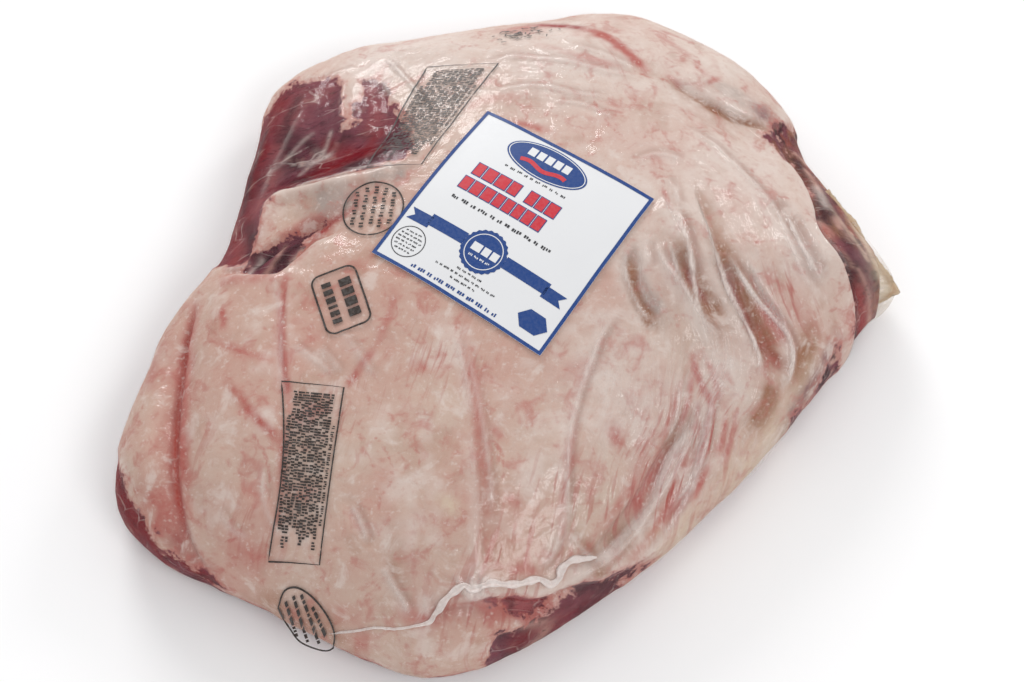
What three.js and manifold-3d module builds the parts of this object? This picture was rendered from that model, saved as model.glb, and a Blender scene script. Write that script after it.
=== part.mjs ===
// A boneless leg of lamb, raw and vacuum-packed in clear shrink film, with a square label on top.
// The leg and its film are one solid, because the film clings to the meat all over.
// Units are millimetres, +Z up. The pack lies with its fat side up on the plane z = 0, and the origin
// is on that plane, under the middle of the pack's bounding box.

import * as THREE from "three";
import { ParametricGeometry } from "three/addons/geometries/ParametricGeometry.js";
import { mergeVertices } from "three/addons/utils/BufferGeometryUtils.js";
import Module from "manifold-3d";

// Driving dimensions
const CROWN = 59; // height of the fat side, before its muscles are added
const RIM_HEIGHT = 22; // height of the widest girth
const FOOT_INSET = 17; // how far the resting face stops short of that girth
const TOP_FLATNESS = 3.6; // higher is a flatter back with steeper sides
const SHOULDER = 1.9; // higher is a squarer shoulder over the girth
const LABEL_SIDE = 76; // a 3 inch label
const LABEL_THICKNESS = 0.3;
const LABEL_GAP = 0.5; // clearance between the facets of the label and of the leg
const LABEL_CENTRE = [0, 18];
const LABEL_TURN = THREE.MathUtils.degToRad(-34.5);
const SEAL_RADIUS = 1.5; // half the width of the crimped end seal
const SEAL_SINK = 0.5; // how far the middle of the seal lies under the surface

// Mesh counts: spokes round the pack, and rings from the crown to the middle of the resting face
const SPOKES = 118;
const TOP_RINGS = 26;
const SIDE_RINGS = 6;
const FOOT_RINGS = 2;
const RINGS = TOP_RINGS + SIDE_RINGS + FOOT_RINGS;
const SEAL_STEPS = 64;
const SEAL_SIDES = 8;
const LABEL_CELLS = 14;

// The widest girth seen from above, anticlockwise from the film's free corner
const GIRTH = [
  [152, 18], [136, 44], [118, 71], [113, 89], [95, 113], [70, 130], [43, 140], [14, 136],
  [-17, 131], [-45, 127], [-74, 120], [-97, 104], [-105, 71], [-111, 43], [-116, 25], [-134, -1],
  [-143, -29], [-151, -59], [-150, -77], [-132, -96], [-93, -115], [-55, -134], [-30, -141],
  [-12, -138], [13, -125], [53, -96], [84, -67], [115, -31], [130, -11], [140, 6],
];

// Where the girth lies lower or higher than RIM_HEIGHT: towards which point, over what reach, by how much
const GIRTH_LIFTS = [
  { at: [151, 18], reach: 30, lift: -8 },
  { at: [-146, -70], reach: 60, lift: -4 },
  { at: [-20, -140], reach: 60, lift: -3 },
  { at: [60, 135], reach: 80, lift: 3 },
];

// Muscles under the fat, as smooth swellings and hollows: centre, half widths, turn in degrees, height
const MUSCLES = [
  { at: [0, 20], half: [90, 78], turn: 0, rise: 12 },
  { at: [78, 30], half: [48, 46], turn: -30, rise: 7 },
  { at: [-18, -84], half: [48, 32], turn: -8, rise: 5 },
  { at: [-100, -45], half: [20, 48], turn: 6, rise: 4 },
  { at: [-146, -55], half: [13, 34], turn: 8, rise: 7 },
  { at: [-78, 76], half: [34, 30], turn: 35, rise: -8 },
  { at: [20, 108], half: [52, 22], turn: -6, rise: 3 },
  { at: [95, 75], half: [26, 30], turn: 40, rise: -4 },
  { at: [84, -48], half: [22, 34], turn: -38, rise: -4 },
];

// Folds of the fat and the film. A fold sinks by depth along its path and swells by lip on the left of it.
const FOLDS = [
  {
    name: "left seam between muscles",
    path: [[-118, 10], [-123, -18], [-125, -48], [-123, -74], [-113, -102]],
    depth: 6, width: 5.5, lip: 0,
  },
  {
    name: "edge of the upper flap",
    path: [[-106, 20], [-98, 30], [-94, 42], [-84, 46], [-66, 49], [-46, 54], [-26, 58]],
    depth: -4, width: 6, lip: -5,
  },
  {
    name: "edge of the lower flap",
    path: [[-112, 8], [-97, 6], [-84, 8], [-77, 17], [-62, 27]],
    depth: 5, width: 5, lip: 0,
  },
  {
    name: "gusset under the crown",
    path: [[33, -105], [46, -90], [58, -70], [66, -48]],
    depth: 4, width: 5, lip: 0,
  },
  { name: "first drape", path: [[61, 20], [68, -8], [84, -46]], depth: -2.5, width: 4.5, lip: 0 },
  { name: "second drape", path: [[77, 14], [85, -18], [101, -48]], depth: -3, width: 4.5, lip: 0 },
  { name: "third drape", path: [[96, 20], [103, -8], [116, -28]], depth: -2.5, width: 5, lip: 0 },
  { name: "shoulder crease", path: [[62, 92], [80, 76], [95, 68], [109, 64]], depth: 4, width: 5, lip: 0 },
];

// The crimped end seal of the bag, shrunk into a wavy bead across the near side
const SEAL = [
  [-66, -130], [-48, -129], [-31, -127], [-25, -119], [-16, -111], [-8, -115], [2, -111], [11, -113],
  [18, -108], [22, -102], [33, -101],
];

const MATERIALS = {
  fat: { color: 0xcdb2a6, roughness: 0.35, metalness: 0 },
  label: { color: 0xe8eaec, roughness: 0.5, metalness: 0 },
};

const wasm = await Module();
wasm.setup();

const gaussian = (t) => Math.exp(-t * t);

const girthCurve = new THREE.CatmullRomCurve3(
  GIRTH.map(([x, y]) => new THREE.Vector3(x, y, 0)),
  true,
  "centripetal",
);
const girthPoints = girthCurve.getSpacedPoints(SPOKES);

// Height of the girth at a point of it.
function rimHeight(x, y) {
  return GIRTH_LIFTS.reduce(
    (sum, { at, reach, lift }) => sum + lift * gaussian(Math.hypot(x - at[0], y - at[1]) / reach),
    RIM_HEIGHT,
  );
}

// Height that the muscles would reach at a point, with no fall towards the girth.
function muscleHeight(x, y) {
  return MUSCLES.reduce((sum, { at, half, turn, rise }) => {
    const a = THREE.MathUtils.degToRad(turn);
    const dx = x - at[0];
    const dy = y - at[1];
    const u = (dx * Math.cos(a) + dy * Math.sin(a)) / half[0];
    const v = (dy * Math.cos(a) - dx * Math.sin(a)) / half[1];
    return sum + rise * gaussian(Math.hypot(u, v));
  }, CROWN);
}

// Signed distance from a point to a fold's path, positive on its left, and how near its ends it lies.
function toFold(x, y, path) {
  let best = { distance: Infinity, along: 0 };
  for (let i = 0; i < path.length - 1; i += 1) {
    const [ax, ay] = path[i];
    const dx = path[i + 1][0] - ax;
    const dy = path[i + 1][1] - ay;
    const share = THREE.MathUtils.clamp(((x - ax) * dx + (y - ay) * dy) / (dx * dx + dy * dy), 0, 1);
    const gap = Math.hypot(x - ax - share * dx, y - ay - share * dy);
    if (gap < Math.abs(best.distance)) {
      const side = Math.sign(dx * (y - ay) - dy * (x - ax)) || 1;
      best = { distance: gap * side, along: (i + share) / (path.length - 1) };
    }
  }
  return best;
}

// How much the folds raise the surface at a point.
function foldHeight(x, y) {
  return FOLDS.reduce((sum, { path, depth, width, lip }) => {
    const { distance, along } = toFold(x, y, path);
    const fade = Math.sin(Math.PI * along) ** 0.7;
    const sink = depth * gaussian(distance / width);
    const swell = lip * gaussian((distance - 2 * width) / (1.5 * width));
    return sum + fade * (swell - sink);
  }, 0);
}

// Share of the full height left at a share of the way from the middle to the girth.
const fall = (share) => (1 - Math.min(share, 1) ** TOP_FLATNESS) ** (1 / SHOULDER);

// Height of the upper surface over a point at a share of the way to its girth point.
function topHeight(x, y, share, rim) {
  return rim + (muscleHeight(x, y) - rim) * fall(share) + foldHeight(x, y) * Math.min(1, 2 * fall(share));
}

// Where the line from the middle through a point meets the girth.
function girthBeyond(x, y) {
  const angle = Math.atan2(y, x);
  for (let i = 0; i < SPOKES; i += 1) {
    const a = girthPoints[i];
    const b = girthPoints[i + 1];
    const before = Math.sin(Math.atan2(a.y, a.x) - angle);
    const after = Math.sin(Math.atan2(b.y, b.x) - angle);
    if (before <= 0 && after > 0 && a.x * Math.cos(angle) + a.y * Math.sin(angle) > 0) {
      return a.clone().lerp(b, before / (before - after));
    }
  }
  return girthPoints[0];
}

// Height of the upper surface at any point inside the girth.
function surfaceAt(x, y) {
  const girth = girthBeyond(x, y);
  return topHeight(x, y, Math.hypot(x, y) / girth.length(), rimHeight(girth.x, girth.y));
}

// A point of the skin: u goes clockwise round it, v from the crown over the girth to the resting face.
function skinPoint(u, v, target) {
  const girth = girthPoints[Math.round((1 - u) * SPOKES) % SPOKES];
  const rim = rimHeight(girth.x, girth.y);
  const foot = 1 - FOOT_INSET / girth.length();
  const ring = Math.round(v * RINGS);
  if (ring <= TOP_RINGS) {
    const share = Math.sin((Math.PI / 2) * (ring / TOP_RINGS)) ** 1.15;
    target.set(girth.x * share, girth.y * share, 0);
    target.z = topHeight(target.x, target.y, share, rim);
    return;
  }
  const turn = (Math.PI / 2) * Math.min(1, (ring - TOP_RINGS) / SIDE_RINGS);
  const inward = Math.max(0, ring - TOP_RINGS - SIDE_RINGS) / FOOT_RINGS;
  const share = (foot + (1 - foot) * Math.cos(turn)) * (1 - inward);
  target.set(girth.x * share, girth.y * share, rim * (1 - Math.sin(turn)));
}

// A manifold-3d solid of a closed geometry.
function solidOf(geometry) {
  const bare = geometry.clone();
  bare.deleteAttribute("normal");
  bare.deleteAttribute("uv");
  const merged = mergeVertices(bare, 1e-3);
  return new wasm.Manifold(
    new wasm.Mesh({
      numProp: 3,
      vertProperties: merged.attributes.position.array,
      triVerts: new Uint32Array(merged.index.array),
    }),
  );
}

// A three.js geometry of a manifold-3d solid.
function geometryOf(solid) {
  const { vertProperties, triVerts } = solid.getMesh();
  const geometry = new THREE.BufferGeometry();
  geometry.setAttribute("position", new THREE.BufferAttribute(new Float32Array(vertProperties), 3));
  geometry.setIndex(new THREE.BufferAttribute(new Uint32Array(triVerts), 1));
  geometry.computeVertexNormals();
  return geometry;
}

// The bead of the end seal, swept along the surface.
function sealGeometry() {
  const sunk = SEAL.map(([x, y]) => new THREE.Vector3(x, y, surfaceAt(x, y) - SEAL_SINK));
  const section = new THREE.Shape(
    Array.from({ length: SEAL_SIDES }, (_, i) => {
      const a = (2 * Math.PI * i) / SEAL_SIDES;
      return new THREE.Vector2(SEAL_RADIUS * Math.cos(a), SEAL_RADIUS * Math.sin(a));
    }),
  );
  return new THREE.ExtrudeGeometry(section, {
    steps: SEAL_STEPS,
    extrudePath: new THREE.CatmullRomCurve3(sunk, false, "centripetal"),
  });
}

// The leg in its film, with the seal as part of the film.
function wrappedLeg() {
  const body = solidOf(new ParametricGeometry(skinPoint, SPOKES, RINGS));
  const whole = body.add(solidOf(sealGeometry()));
  const mesh = new THREE.Mesh(geometryOf(whole), new THREE.MeshStandardMaterial(MATERIALS.fat));
  mesh.name = "wrapped_leg";
  return mesh;
}

// The label, bent to the surface under it.
function label() {
  const geometry = new THREE.BoxGeometry(
    LABEL_SIDE, LABEL_SIDE, LABEL_THICKNESS, LABEL_CELLS, LABEL_CELLS, 1,
  );
  geometry.rotateZ(LABEL_TURN).translate(LABEL_CENTRE[0], LABEL_CENTRE[1], LABEL_THICKNESS / 2);
  const position = geometry.attributes.position;
  for (let i = 0; i < position.count; i += 1) {
    const seat = surfaceAt(position.getX(i), position.getY(i)) + LABEL_GAP;
    position.setZ(i, position.getZ(i) + seat);
  }
  geometry.computeVertexNormals();
  const mesh = new THREE.Mesh(geometry, new THREE.MeshStandardMaterial(MATERIALS.label));
  mesh.name = "label";
  return mesh;
}

const pack = new THREE.Group();
pack.add(wrappedLeg(), label());

// The middle of the pack's bounding box comes over the origin.
const middle = new THREE.Box3().setFromObject(pack).getCenter(new THREE.Vector3());
pack.children.forEach((mesh) => mesh.position.set(-middle.x, -middle.y, 0));

export default pack;
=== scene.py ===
import math
import random

import bmesh
import bpy
import numpy as np
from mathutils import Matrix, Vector
from mathutils.bvhtree import BVHTree


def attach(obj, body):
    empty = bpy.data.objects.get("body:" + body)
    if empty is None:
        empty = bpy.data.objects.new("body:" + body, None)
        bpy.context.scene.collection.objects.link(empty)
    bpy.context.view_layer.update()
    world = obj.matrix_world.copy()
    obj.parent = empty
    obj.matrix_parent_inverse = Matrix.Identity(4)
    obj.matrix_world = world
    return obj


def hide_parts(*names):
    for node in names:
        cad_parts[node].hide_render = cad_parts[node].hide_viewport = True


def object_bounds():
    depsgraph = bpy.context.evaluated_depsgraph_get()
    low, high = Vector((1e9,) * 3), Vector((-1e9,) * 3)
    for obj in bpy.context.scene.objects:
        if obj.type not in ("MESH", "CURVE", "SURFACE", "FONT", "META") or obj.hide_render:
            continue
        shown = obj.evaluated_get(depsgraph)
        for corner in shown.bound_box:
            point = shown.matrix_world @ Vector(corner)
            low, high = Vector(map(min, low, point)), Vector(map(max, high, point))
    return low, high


# A raw boneless leg of lamb in clear shrink film. Shapes are worked out in millimetres in the frame's
# own axes: +X towards the film's free corner, +Y away from the crimped seal, +Z up.

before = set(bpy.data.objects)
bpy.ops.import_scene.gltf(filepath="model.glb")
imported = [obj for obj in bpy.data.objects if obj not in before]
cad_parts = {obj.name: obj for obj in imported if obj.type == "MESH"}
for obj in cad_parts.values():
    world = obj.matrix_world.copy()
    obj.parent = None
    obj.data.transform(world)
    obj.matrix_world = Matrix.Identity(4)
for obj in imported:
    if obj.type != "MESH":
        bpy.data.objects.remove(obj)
cad_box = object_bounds()

MM = 0.001
VOXEL = 1.05  # edge of the fine surface's cells
ROUNDING = 36  # smoothing rounds that take the facets off the CAD solid
FILM_GAP = 0.45  # how far the film lies off the meat
PRINT_GAP = 0.22  # how far the ink lies off the film
INK_CELL = 1.4  # largest cell of a print, so that it bends with the film
PANEL_LENGTH = 60.0
PANEL_WIDTH = 20.0
VEIN_REACH = 4.0
VEIN_HALF_WIDTH = 0.3
CORNER_TIP = np.array([151.0, 18.0])
CORNER_THICKNESS = 0.22
LABEL_SIDE = 76.0
LABEL_HALF = LABEL_SIDE / 2
LABEL_CENTRE = np.array([-0.2, 18.4])
LABEL_TURN = -34.5  # in degrees, as every turn below
LABEL_STEP = 1.0
LABEL_LIFT = 0.9  # height of the label's top over the smooth surface
LABEL_THICKNESS = 0.25
LABEL_BORDER = 1.4
TITLE_HEIGHT = 5.5
TITLE_GAP = 1.0
TITLE_EDGE = 0.35  # width of the blue edge round the title's blocks
FLOOR_HALF = 3.0  # in metres
CAMERA_LENS = 85
CAMERA_SENSOR = 36
CAMERA_RISE = 64
CAMERA_DISTANCE = 925
CAMERA_AIM = (-0.65, -11.2, -4.4)  # from the middle of the CAD model
LIGHTS = (  # name, place and size in metres, and power
    ("key", (-0.4, 1.2, 0.75), 0.6, 8.4),
    ("fill", (0.5, -0.7, 1.1), 0.6, 4.3),
    ("side", (0.75, 0.75, 0.8), 0.3, 2.0),
)

# Linear colours
CREAM = (0.56, 0.43, 0.355)
PINK = (0.52, 0.305, 0.25)
ROSE = (0.42, 0.115, 0.095)
BLOOD = (0.28, 0.03, 0.03)
OCHRE = (0.29, 0.125, 0.065)
WAX = (0.60, 0.475, 0.365)
PALE = (0.68, 0.585, 0.535)
# Painted cool shade, and by the high panel a painted sheen of the film
GREY_SHADE_AND_SHEEN = (0.36, 0.29, 0.26)
# Painted shade, for the dark beside the film's crests and in the hollows between the drapes
HOLLOW_SHADE = (0.30, 0.16, 0.125)
FLUSH = (0.37, 0.06, 0.045)
LEAN_PURPLE = (0.155, 0.038, 0.056)
LEAN_RED = (0.18, 0.003, 0.008)
LEAN_DARK = (0.035, 0.004, 0.009)
LEAN_BROWN = (0.25, 0.055, 0.038)
LEAN_ROSE = (0.29, 0.07, 0.075)
FILM_TINT = (0.84, 0.75, 0.70)
FILM_YELLOW = (0.62, 0.50, 0.30)
CORNER_TINT = (0.80, 0.69, 0.52)
CORNER_RIM = (0.42, 0.22, 0.09)
PAPER = (0.72, 0.725, 0.735)


# ---------------------------------------------------------------- numbers


def step(low, high, value):
    """0 below low, 1 above high, and smooth between them."""
    t = np.clip((value - low) / (high - low), 0.0, 1.0)
    return t * t * (3.0 - 2.0 * t)


def ends(share, low, high):
    """Fades a line out towards both of its ends."""
    return step(low, high, share) * step(low, high, 1.0 - share)


def bell(distance, width):
    return np.exp(-((distance / width) ** 2))


def spot(xy, centre, half):
    """A soft round spot, 1 in its middle."""
    return bell(np.linalg.norm(xy - centre, axis=1), half)


def turned(xy, degrees):
    """Points turned about the origin."""
    c, s = math.cos(math.radians(degrees)), math.sin(math.radians(degrees))
    return np.column_stack([xy[:, 0] * c - xy[:, 1] * s, xy[:, 0] * s + xy[:, 1] * c])


def noise(points, size, seed=0):
    """Smooth noise from -1 to 1 at each point, with bumps of about that size."""
    q = points / size + seed * 7.31
    cell = np.floor(q).astype(np.int64)
    f = q - cell
    f = f * f * f * (f * (f * 6.0 - 15.0) + 10.0)
    total = np.zeros(len(points))
    for corner in range(8):
        bits = np.array([corner & 1, corner >> 1 & 1, corner >> 2 & 1])
        c = cell + bits
        n = c[:, 0] * 374761393 + c[:, 1] * 668265263 + c[:, 2] * 1440662683 + seed * 974634777
        n = (n ^ (n >> 13)) * 1274126177
        value = ((n ^ (n >> 16)) & 0xFFFF) / 32767.5 - 1.0
        total += value * np.prod(np.where(bits, f, 1.0 - f), axis=1)
    return total


def clouds(points, size, seed=0):
    """Noise with finer noise on top of it, from about -1 to 1."""
    return sum(noise(points, size / 2**i, seed + 11 * i) / 1.6**i for i in range(3)) / 1.6


def patches(points, size, seed, low, high):
    """Random soft patches, 0 where the clouds are under low and 1 over high."""
    return step(low, high, clouds(points, size, seed))


def spline(points, spacing=1.5):
    """A smooth line through a few points, as many points."""
    p = np.array(points, dtype=float)
    p = np.vstack([2 * p[0] - p[1], p, 2 * p[-1] - p[-2]])
    line = []
    for a, b, c, d in zip(p, p[1:], p[2:], p[3:]):
        count = max(2, int(np.linalg.norm(c - b) / spacing))
        t = (np.arange(count) / count)[:, None]
        line.append(0.5 * (2 * b + (c - a) * t + (2 * a - 5 * b + 4 * c - d) * t**2
                           + (3 * b - a - 3 * c + d) * t**3))
    return np.vstack([*line, p[-2][None]])


def along(xy, path, reach):
    """Signed distance to a path, positive on its left and infinite past reach, and the share of the way."""
    line = spline(path)
    distance = np.full(len(xy), np.inf)
    share = np.zeros(len(xy))
    near = np.all((xy > line.min(0) - reach) & (xy < line.max(0) + reach), axis=1)
    p = xy[near]
    best = np.full(len(p), np.inf)
    side = np.ones(len(p))
    at = np.zeros(len(p))
    for i, (a, b) in enumerate(zip(line, line[1:])):
        d = b - a
        r = p - a
        t = np.clip((r @ d) / max(d @ d, 1e-12), 0.0, 1.0)
        gap = np.linalg.norm(r - t[:, None] * d, axis=1)
        closer = gap < best
        best = np.where(closer, gap, best)
        side = np.where(closer, np.sign(d[0] * r[:, 1] - d[1] * r[:, 0]), side)
        at = np.where(closer, (i + t) / (len(line) - 1), at)
    best = np.where(best < reach, best, np.inf)
    distance[near] = np.where(side < 0, -best, best)
    share[near] = at
    return distance, share


def inside(xy, outline):
    """Signed distance to a closed outline, positive inside it."""
    ring = np.array([*outline, outline[0]], dtype=float)
    within = np.zeros(len(xy), dtype=bool)
    gap = np.full(len(xy), np.inf)
    for a, b in zip(ring, ring[1:]):
        d = b - a
        r = xy - a
        t = np.clip((r @ d) / (d @ d), 0.0, 1.0)
        gap = np.minimum(gap, np.linalg.norm(r - t[:, None] * d, axis=1))
        if a[1] != b[1]:
            crosses = (a[1] > xy[:, 1]) != (b[1] > xy[:, 1])
            within ^= crosses & (xy[:, 0] < (b[0] - a[0]) * (xy[:, 1] - a[1]) / (b[1] - a[1]) + a[0])
    return np.where(within, gap, -gap)


def off_label(xy):
    """0 under the label, rising to 1 a few millimetres from it."""
    beyond = np.maximum(np.abs(turned(xy - LABEL_CENTRE, -LABEL_TURN)) - LABEL_HALF, 0.0)
    return step(0.6, 5.0, np.linalg.norm(beyond, axis=1))


def label_place(flat):
    """Turns places on the label into plan coordinates."""
    return turned(flat, LABEL_TURN) + LABEL_CENTRE


# ---------------------------------------------------------------- tables

# Folds of the meat: path, depth (a negative one is a swelling) and width
MEAT_FOLDS = [
    ([(-120, 8), (-122, -5), (-124, -20), (-125, -44), (-125, -60), (-124, -74), (-120, -92), (-114, -103),
      (-104, -110)], 2.0, 1.5),
    ([(-129, 0), (-133, -20), (-135, -45), (-134, -66), (-129, -84)], -0.7, 7.0),
    ([(-103, 12), (-97, 14), (-91, 18), (-84, 22), (-76, 25), (-68, 25)], 3.0, 2.2),
    ([(-114, 9), (-106, 5), (-97, 3), (-88, 2), (-80, 8), (-72, 15), (-62, 17)], -1.6, 3.5),
    ([(-101, 18), (-98, 27), (-93, 38), (-84, 41), (-72, 42), (-58, 42), (-46, 42)], -1.8, 3.0),
    ([(-72, 60), (-77, 70), (-80, 84), (-76, 97)], 1.5, 4.0),
    ([(-65, 99), (-67, 88), (-67, 76), (-63, 64)], -2.2, 3.0),
    ([(-90, 92), (-97, 76), (-102, 58), (-105, 40), (-104, 26)], -1.6, 4.0),
    ([(-85, 2), (-87, -16), (-86, -32), (-82, -52)], 0.7, 1.4),
    ([(60, 91), (70, 88), (78, 83), (86, 79), (94, 77), (103, 75)], 1.5, 2.2),
    ([(66, 98), (80, 92), (92, 86), (101, 82)], -0.5, 5.0),
    ([(76, 6), (83, -4), (90, -16), (97, -26)], 2.4, 3.2), ([(60, 8), (67, -4), (78, -18)], 1.6, 3.2),
    ([(43, 0), (48, -14), (52, -26)], 1.5, 2.8), ([(95, 6), (104, -8), (112, -18)], 1.2, 3.0),
    ([(66, -46), (58, -62), (49, -78), (40, -90), (30, -102), (22, -109)], 2.2, 2.0),
    ([(103, 76), (111, 62), (115, 52), (117, 40), (118, 28), (125, 18), (131, 8), (132, 0),
      (129, -8)], 2.4, 1.8),
    ([(-40, -128), (-22, -121), (-10, -123), (4, -122), (16, -117), (30, -110)], 1.8, 2.6),
    ([(-20, -132), (-8, -133), (6, -128), (20, -121), (36, -111), (52, -98)], 1.6, 2.4),
    ([(-51, -112), (-44, -118), (-38, -125)], 1.0, 3.0), ([(-62, -84), (-56, -94), (-51, -104)], 0.8, 2.5),
]

# Crests of the film, where it stands in a pinched fold: path, height, width
CRESTS = [
    ([(57, 31), (61, 22), (65, 8), (68, -12), (73, -22), (76, -30)], 1.5, 1.5),
    ([(70, 16), (75, 8), (79, -4), (86, -16), (90, -24), (92, -36)], 1.7, 1.4),
    ([(78, 10), (85, 0), (92, -8), (101, -16), (104, -22), (103, -30), (98, -38)], 1.7, 1.3),
    ([(102, 32), (107, 20), (111, 12), (117, 4)], 1.2, 2.0),
    ([(96, 40), (101, 24), (106, 10), (113, -2)], 0.9, 2.2),
    ([(44, 12), (41, 3), (43, -8), (48, -17), (55, -21)], 1.1, 1.3),
    ([(52, 14), (55, 4), (62, -6), (68, -15), (71, -24)], 1.0, 1.4),
    ([(52, 14), (49, 9), (50, 0)], 0.8, 1.3),
    ([(41, -13), (33, -24), (28, -36), (23, -50), (20, -64), (19, -78), (19, -90), (18, -99)], 1.0, 1.1),
    ([(19, -88), (16, -97), (13, -105), (8, -109)], 0.7, 1.0),
    ([(19, -95), (24, -101), (31, -104)], 0.7, 1.0),
    ([(-22, -22), (-18, -40), (-15, -54), (-13, -60)], 0.7, 1.0),
    ([(-19, -24), (-14, -46), (-11, -62), (-8, -84), (-8, -100)], 0.6, 1.0),
    ([(-16, -60), (-14, -80), (-13, -96), (-14, -112)], 0.5, 1.0),
    ([(69, -40), (66, -54), (60, -68), (52, -80), (44, -91), (34, -101), (22, -109), (12, -115)], 0.8, 1.0),
    ([(76, -34), (72, -48), (69, -62), (64, -74), (55, -86)], 0.9, 1.2),
    ([(61, -36), (60, -50), (56, -62)], 0.6, 1.2), ([(-59, -87), (-55, -94), (-52, -102)], 0.8, 1.0),
    ([(-48, -108), (-42, -117), (-36, -126)], 0.9, 0.9), ([(-31, -118), (-31, -127)], 0.6, 0.9),
    ([(-90, 6), (-87, -10), (-86, -24), (-85, -40), (-81, -52)], 0.7, 0.8),
    ([(-82, -26), (-76, -31), (-69, -37), (-66, -41)], 0.7, 0.9),
    ([(-72, -28), (-67, -33), (-63, -39)], 0.6, 0.8), ([(-64, -22), (-58, -30), (-50, -42)], 0.5, 0.9),
    ([(-108, -84), (-102, -93), (-95, -96)], 0.5, 0.9), ([(-91, -72), (-90, -86), (-84, -98)], 0.6, 1.2),
    ([(-52, 108), (-46, 99), (-37, 84), (-34, 78)], 1.1, 0.8),
    ([(-78, 97), (-72, 101), (-62, 104)], 0.7, 1.0),
    ([(-100, 44), (-95, 60), (-88, 74), (-82, 88)], 0.7, 1.1),
    ([(-97, 28), (-94, 41), (-84, 45), (-70, 46), (-56, 48), (-44, 48)], 0.9, 1.0),
    ([(-112, 14), (-104, 12), (-99, 14)], 0.8, 0.9), ([(-12, -121), (-14, -117), (-16, -112)], 0.6, 0.7),
    ([(-13, -121), (-18, -117), (-22, -112)], 0.6, 0.7),
    ([(-12, -121), (-11, -117), (-11, -112)], 0.6, 0.7),
    ([(-10, 82), (8, 84), (24, 80), (40, 78)], 0.7, 1.2),
    ([(-18, 96), (0, 100), (20, 97), (38, 92), (52, 90)], 0.7, 1.5),
    ([(14, 76), (28, 74), (40, 66)], 0.7, 1.1), ([(22, 106), (34, 102), (48, 94)], 0.6, 1.3),
    ([(62, 66), (74, 60), (86, 48), (98, 30), (108, 12)], 0.8, 1.5),
    ([(84, 52), (93, 40), (101, 26)], 0.7, 1.3), ([(44, 44), (54, 50), (66, 47)], 0.6, 1.2),
    ([(56, 40), (60, 34), (62, 26)], 0.6, 1.2),
]

# Steps, where one side stands over the other: path, half height (positive lifts the left), edge, reach, and
# the colour of the low side with its strength; that colour is partly the meat's own stain and partly painted
# shade, and the high side gets painted light
STEPS = [
    ([(56, 34), (57, 29), (60, 20), (64, 10), (66, 5)], -1.5, 0.9, 5.0, OCHRE, 0.3),
    ([(55, 14), (58, 10), (61, -1), (66, -12), (71, -20), (73, -28)], -2.0, 0.8, 5.5, OCHRE, 0.75),
    ([(68, 38), (69, 30), (73, 16), (76, 2), (80, -9), (87, -20), (88, -29)], -2.3, 0.8, 6.0, OCHRE, 1.0),
    ([(86, 8), (93, -4), (100, -13), (102, -20)], 1.5, 0.9, 5.0, OCHRE, 0.35),
    ([(46, 10), (47, 0), (47, -6), (50, -13), (56, -17)], 1.4, 0.9, 5.0, OCHRE, 0.6),
    ([(102, 40), (105, 33), (111, 19), (116, 8), (119, 4)], 1.2, 1.0, 6.0, GREY_SHADE_AND_SHEEN, 0.3),
    ([(94, 84), (103, 76), (110, 62), (115, 50), (117, 40)], -0.8, 2.2, 8.0, LEAN_DARK, 0.3),
    ([(115, 50), (117, 36), (118, 27), (122, 22), (127, 15), (130, 9), (132, 5), (132, 0), (131, -7),
      (128, -14)], -2.0, 1.1, 8.0, LEAN_DARK, 0.5),
    ([(-99, 14), (-97, 28), (-95, 38), (-90, 43), (-82, 43), (-71, 44), (-56, 46),
      (-43, 47)], -1.8, 0.8, 7.0, LEAN_DARK, 0.6),
    ([(-114, 10), (-104, 8), (-95, 5), (-88, 4), (-82, 10), (-75, 17),
      (-64, 21)], -1.5, 0.8, 6.0, ROSE, 0.7),
    ([(66, -42), (65, -54), (57, -66), (50, -82), (39, -95), (30, -103),
      (14, -110)], 1.6, 0.9, 6.0, OCHRE, 0.7),
    ([(70, -48), (69, -56), (66, -71), (61, -82), (54, -91), (44, -100)], 1.2, 0.9, 5.0, OCHRE, 0.4),
    ([(-36, -127), (-26, -123), (-14, -121), (-6, -119), (4, -119), (12, -117), (20, -113), (34, -107),
      (47, -99), (62, -86)], 1.7, 0.9, 7.0, BLOOD, 0.5),
    ([(-121, 6), (-122, -8), (-124, -30), (-125, -56), (-124, -76), (-120, -92),
      (-112, -104)], 1.3, 0.7, 3.5, BLOOD, 0.5),
    ([(60, 94), (68, 89), (78, 83), (88, 79), (98, 76)], 1.3, 0.9, 6.0, OCHRE, 0.6),
    ([(-85, 4), (-86, -16), (-85, -34), (-82, -52)], 0.5, 0.6, 4.0, ROSE, 0.4),
    ([(19, -62), (19, -85), (18, -98), (11, -109)], -0.8, 0.7, 4.0, OCHRE, 0.35),
    ([(-15, -64), (-14, -81), (-13, -113)], -0.5, 0.7, 4.0, PINK, 0.4),
]

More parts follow.
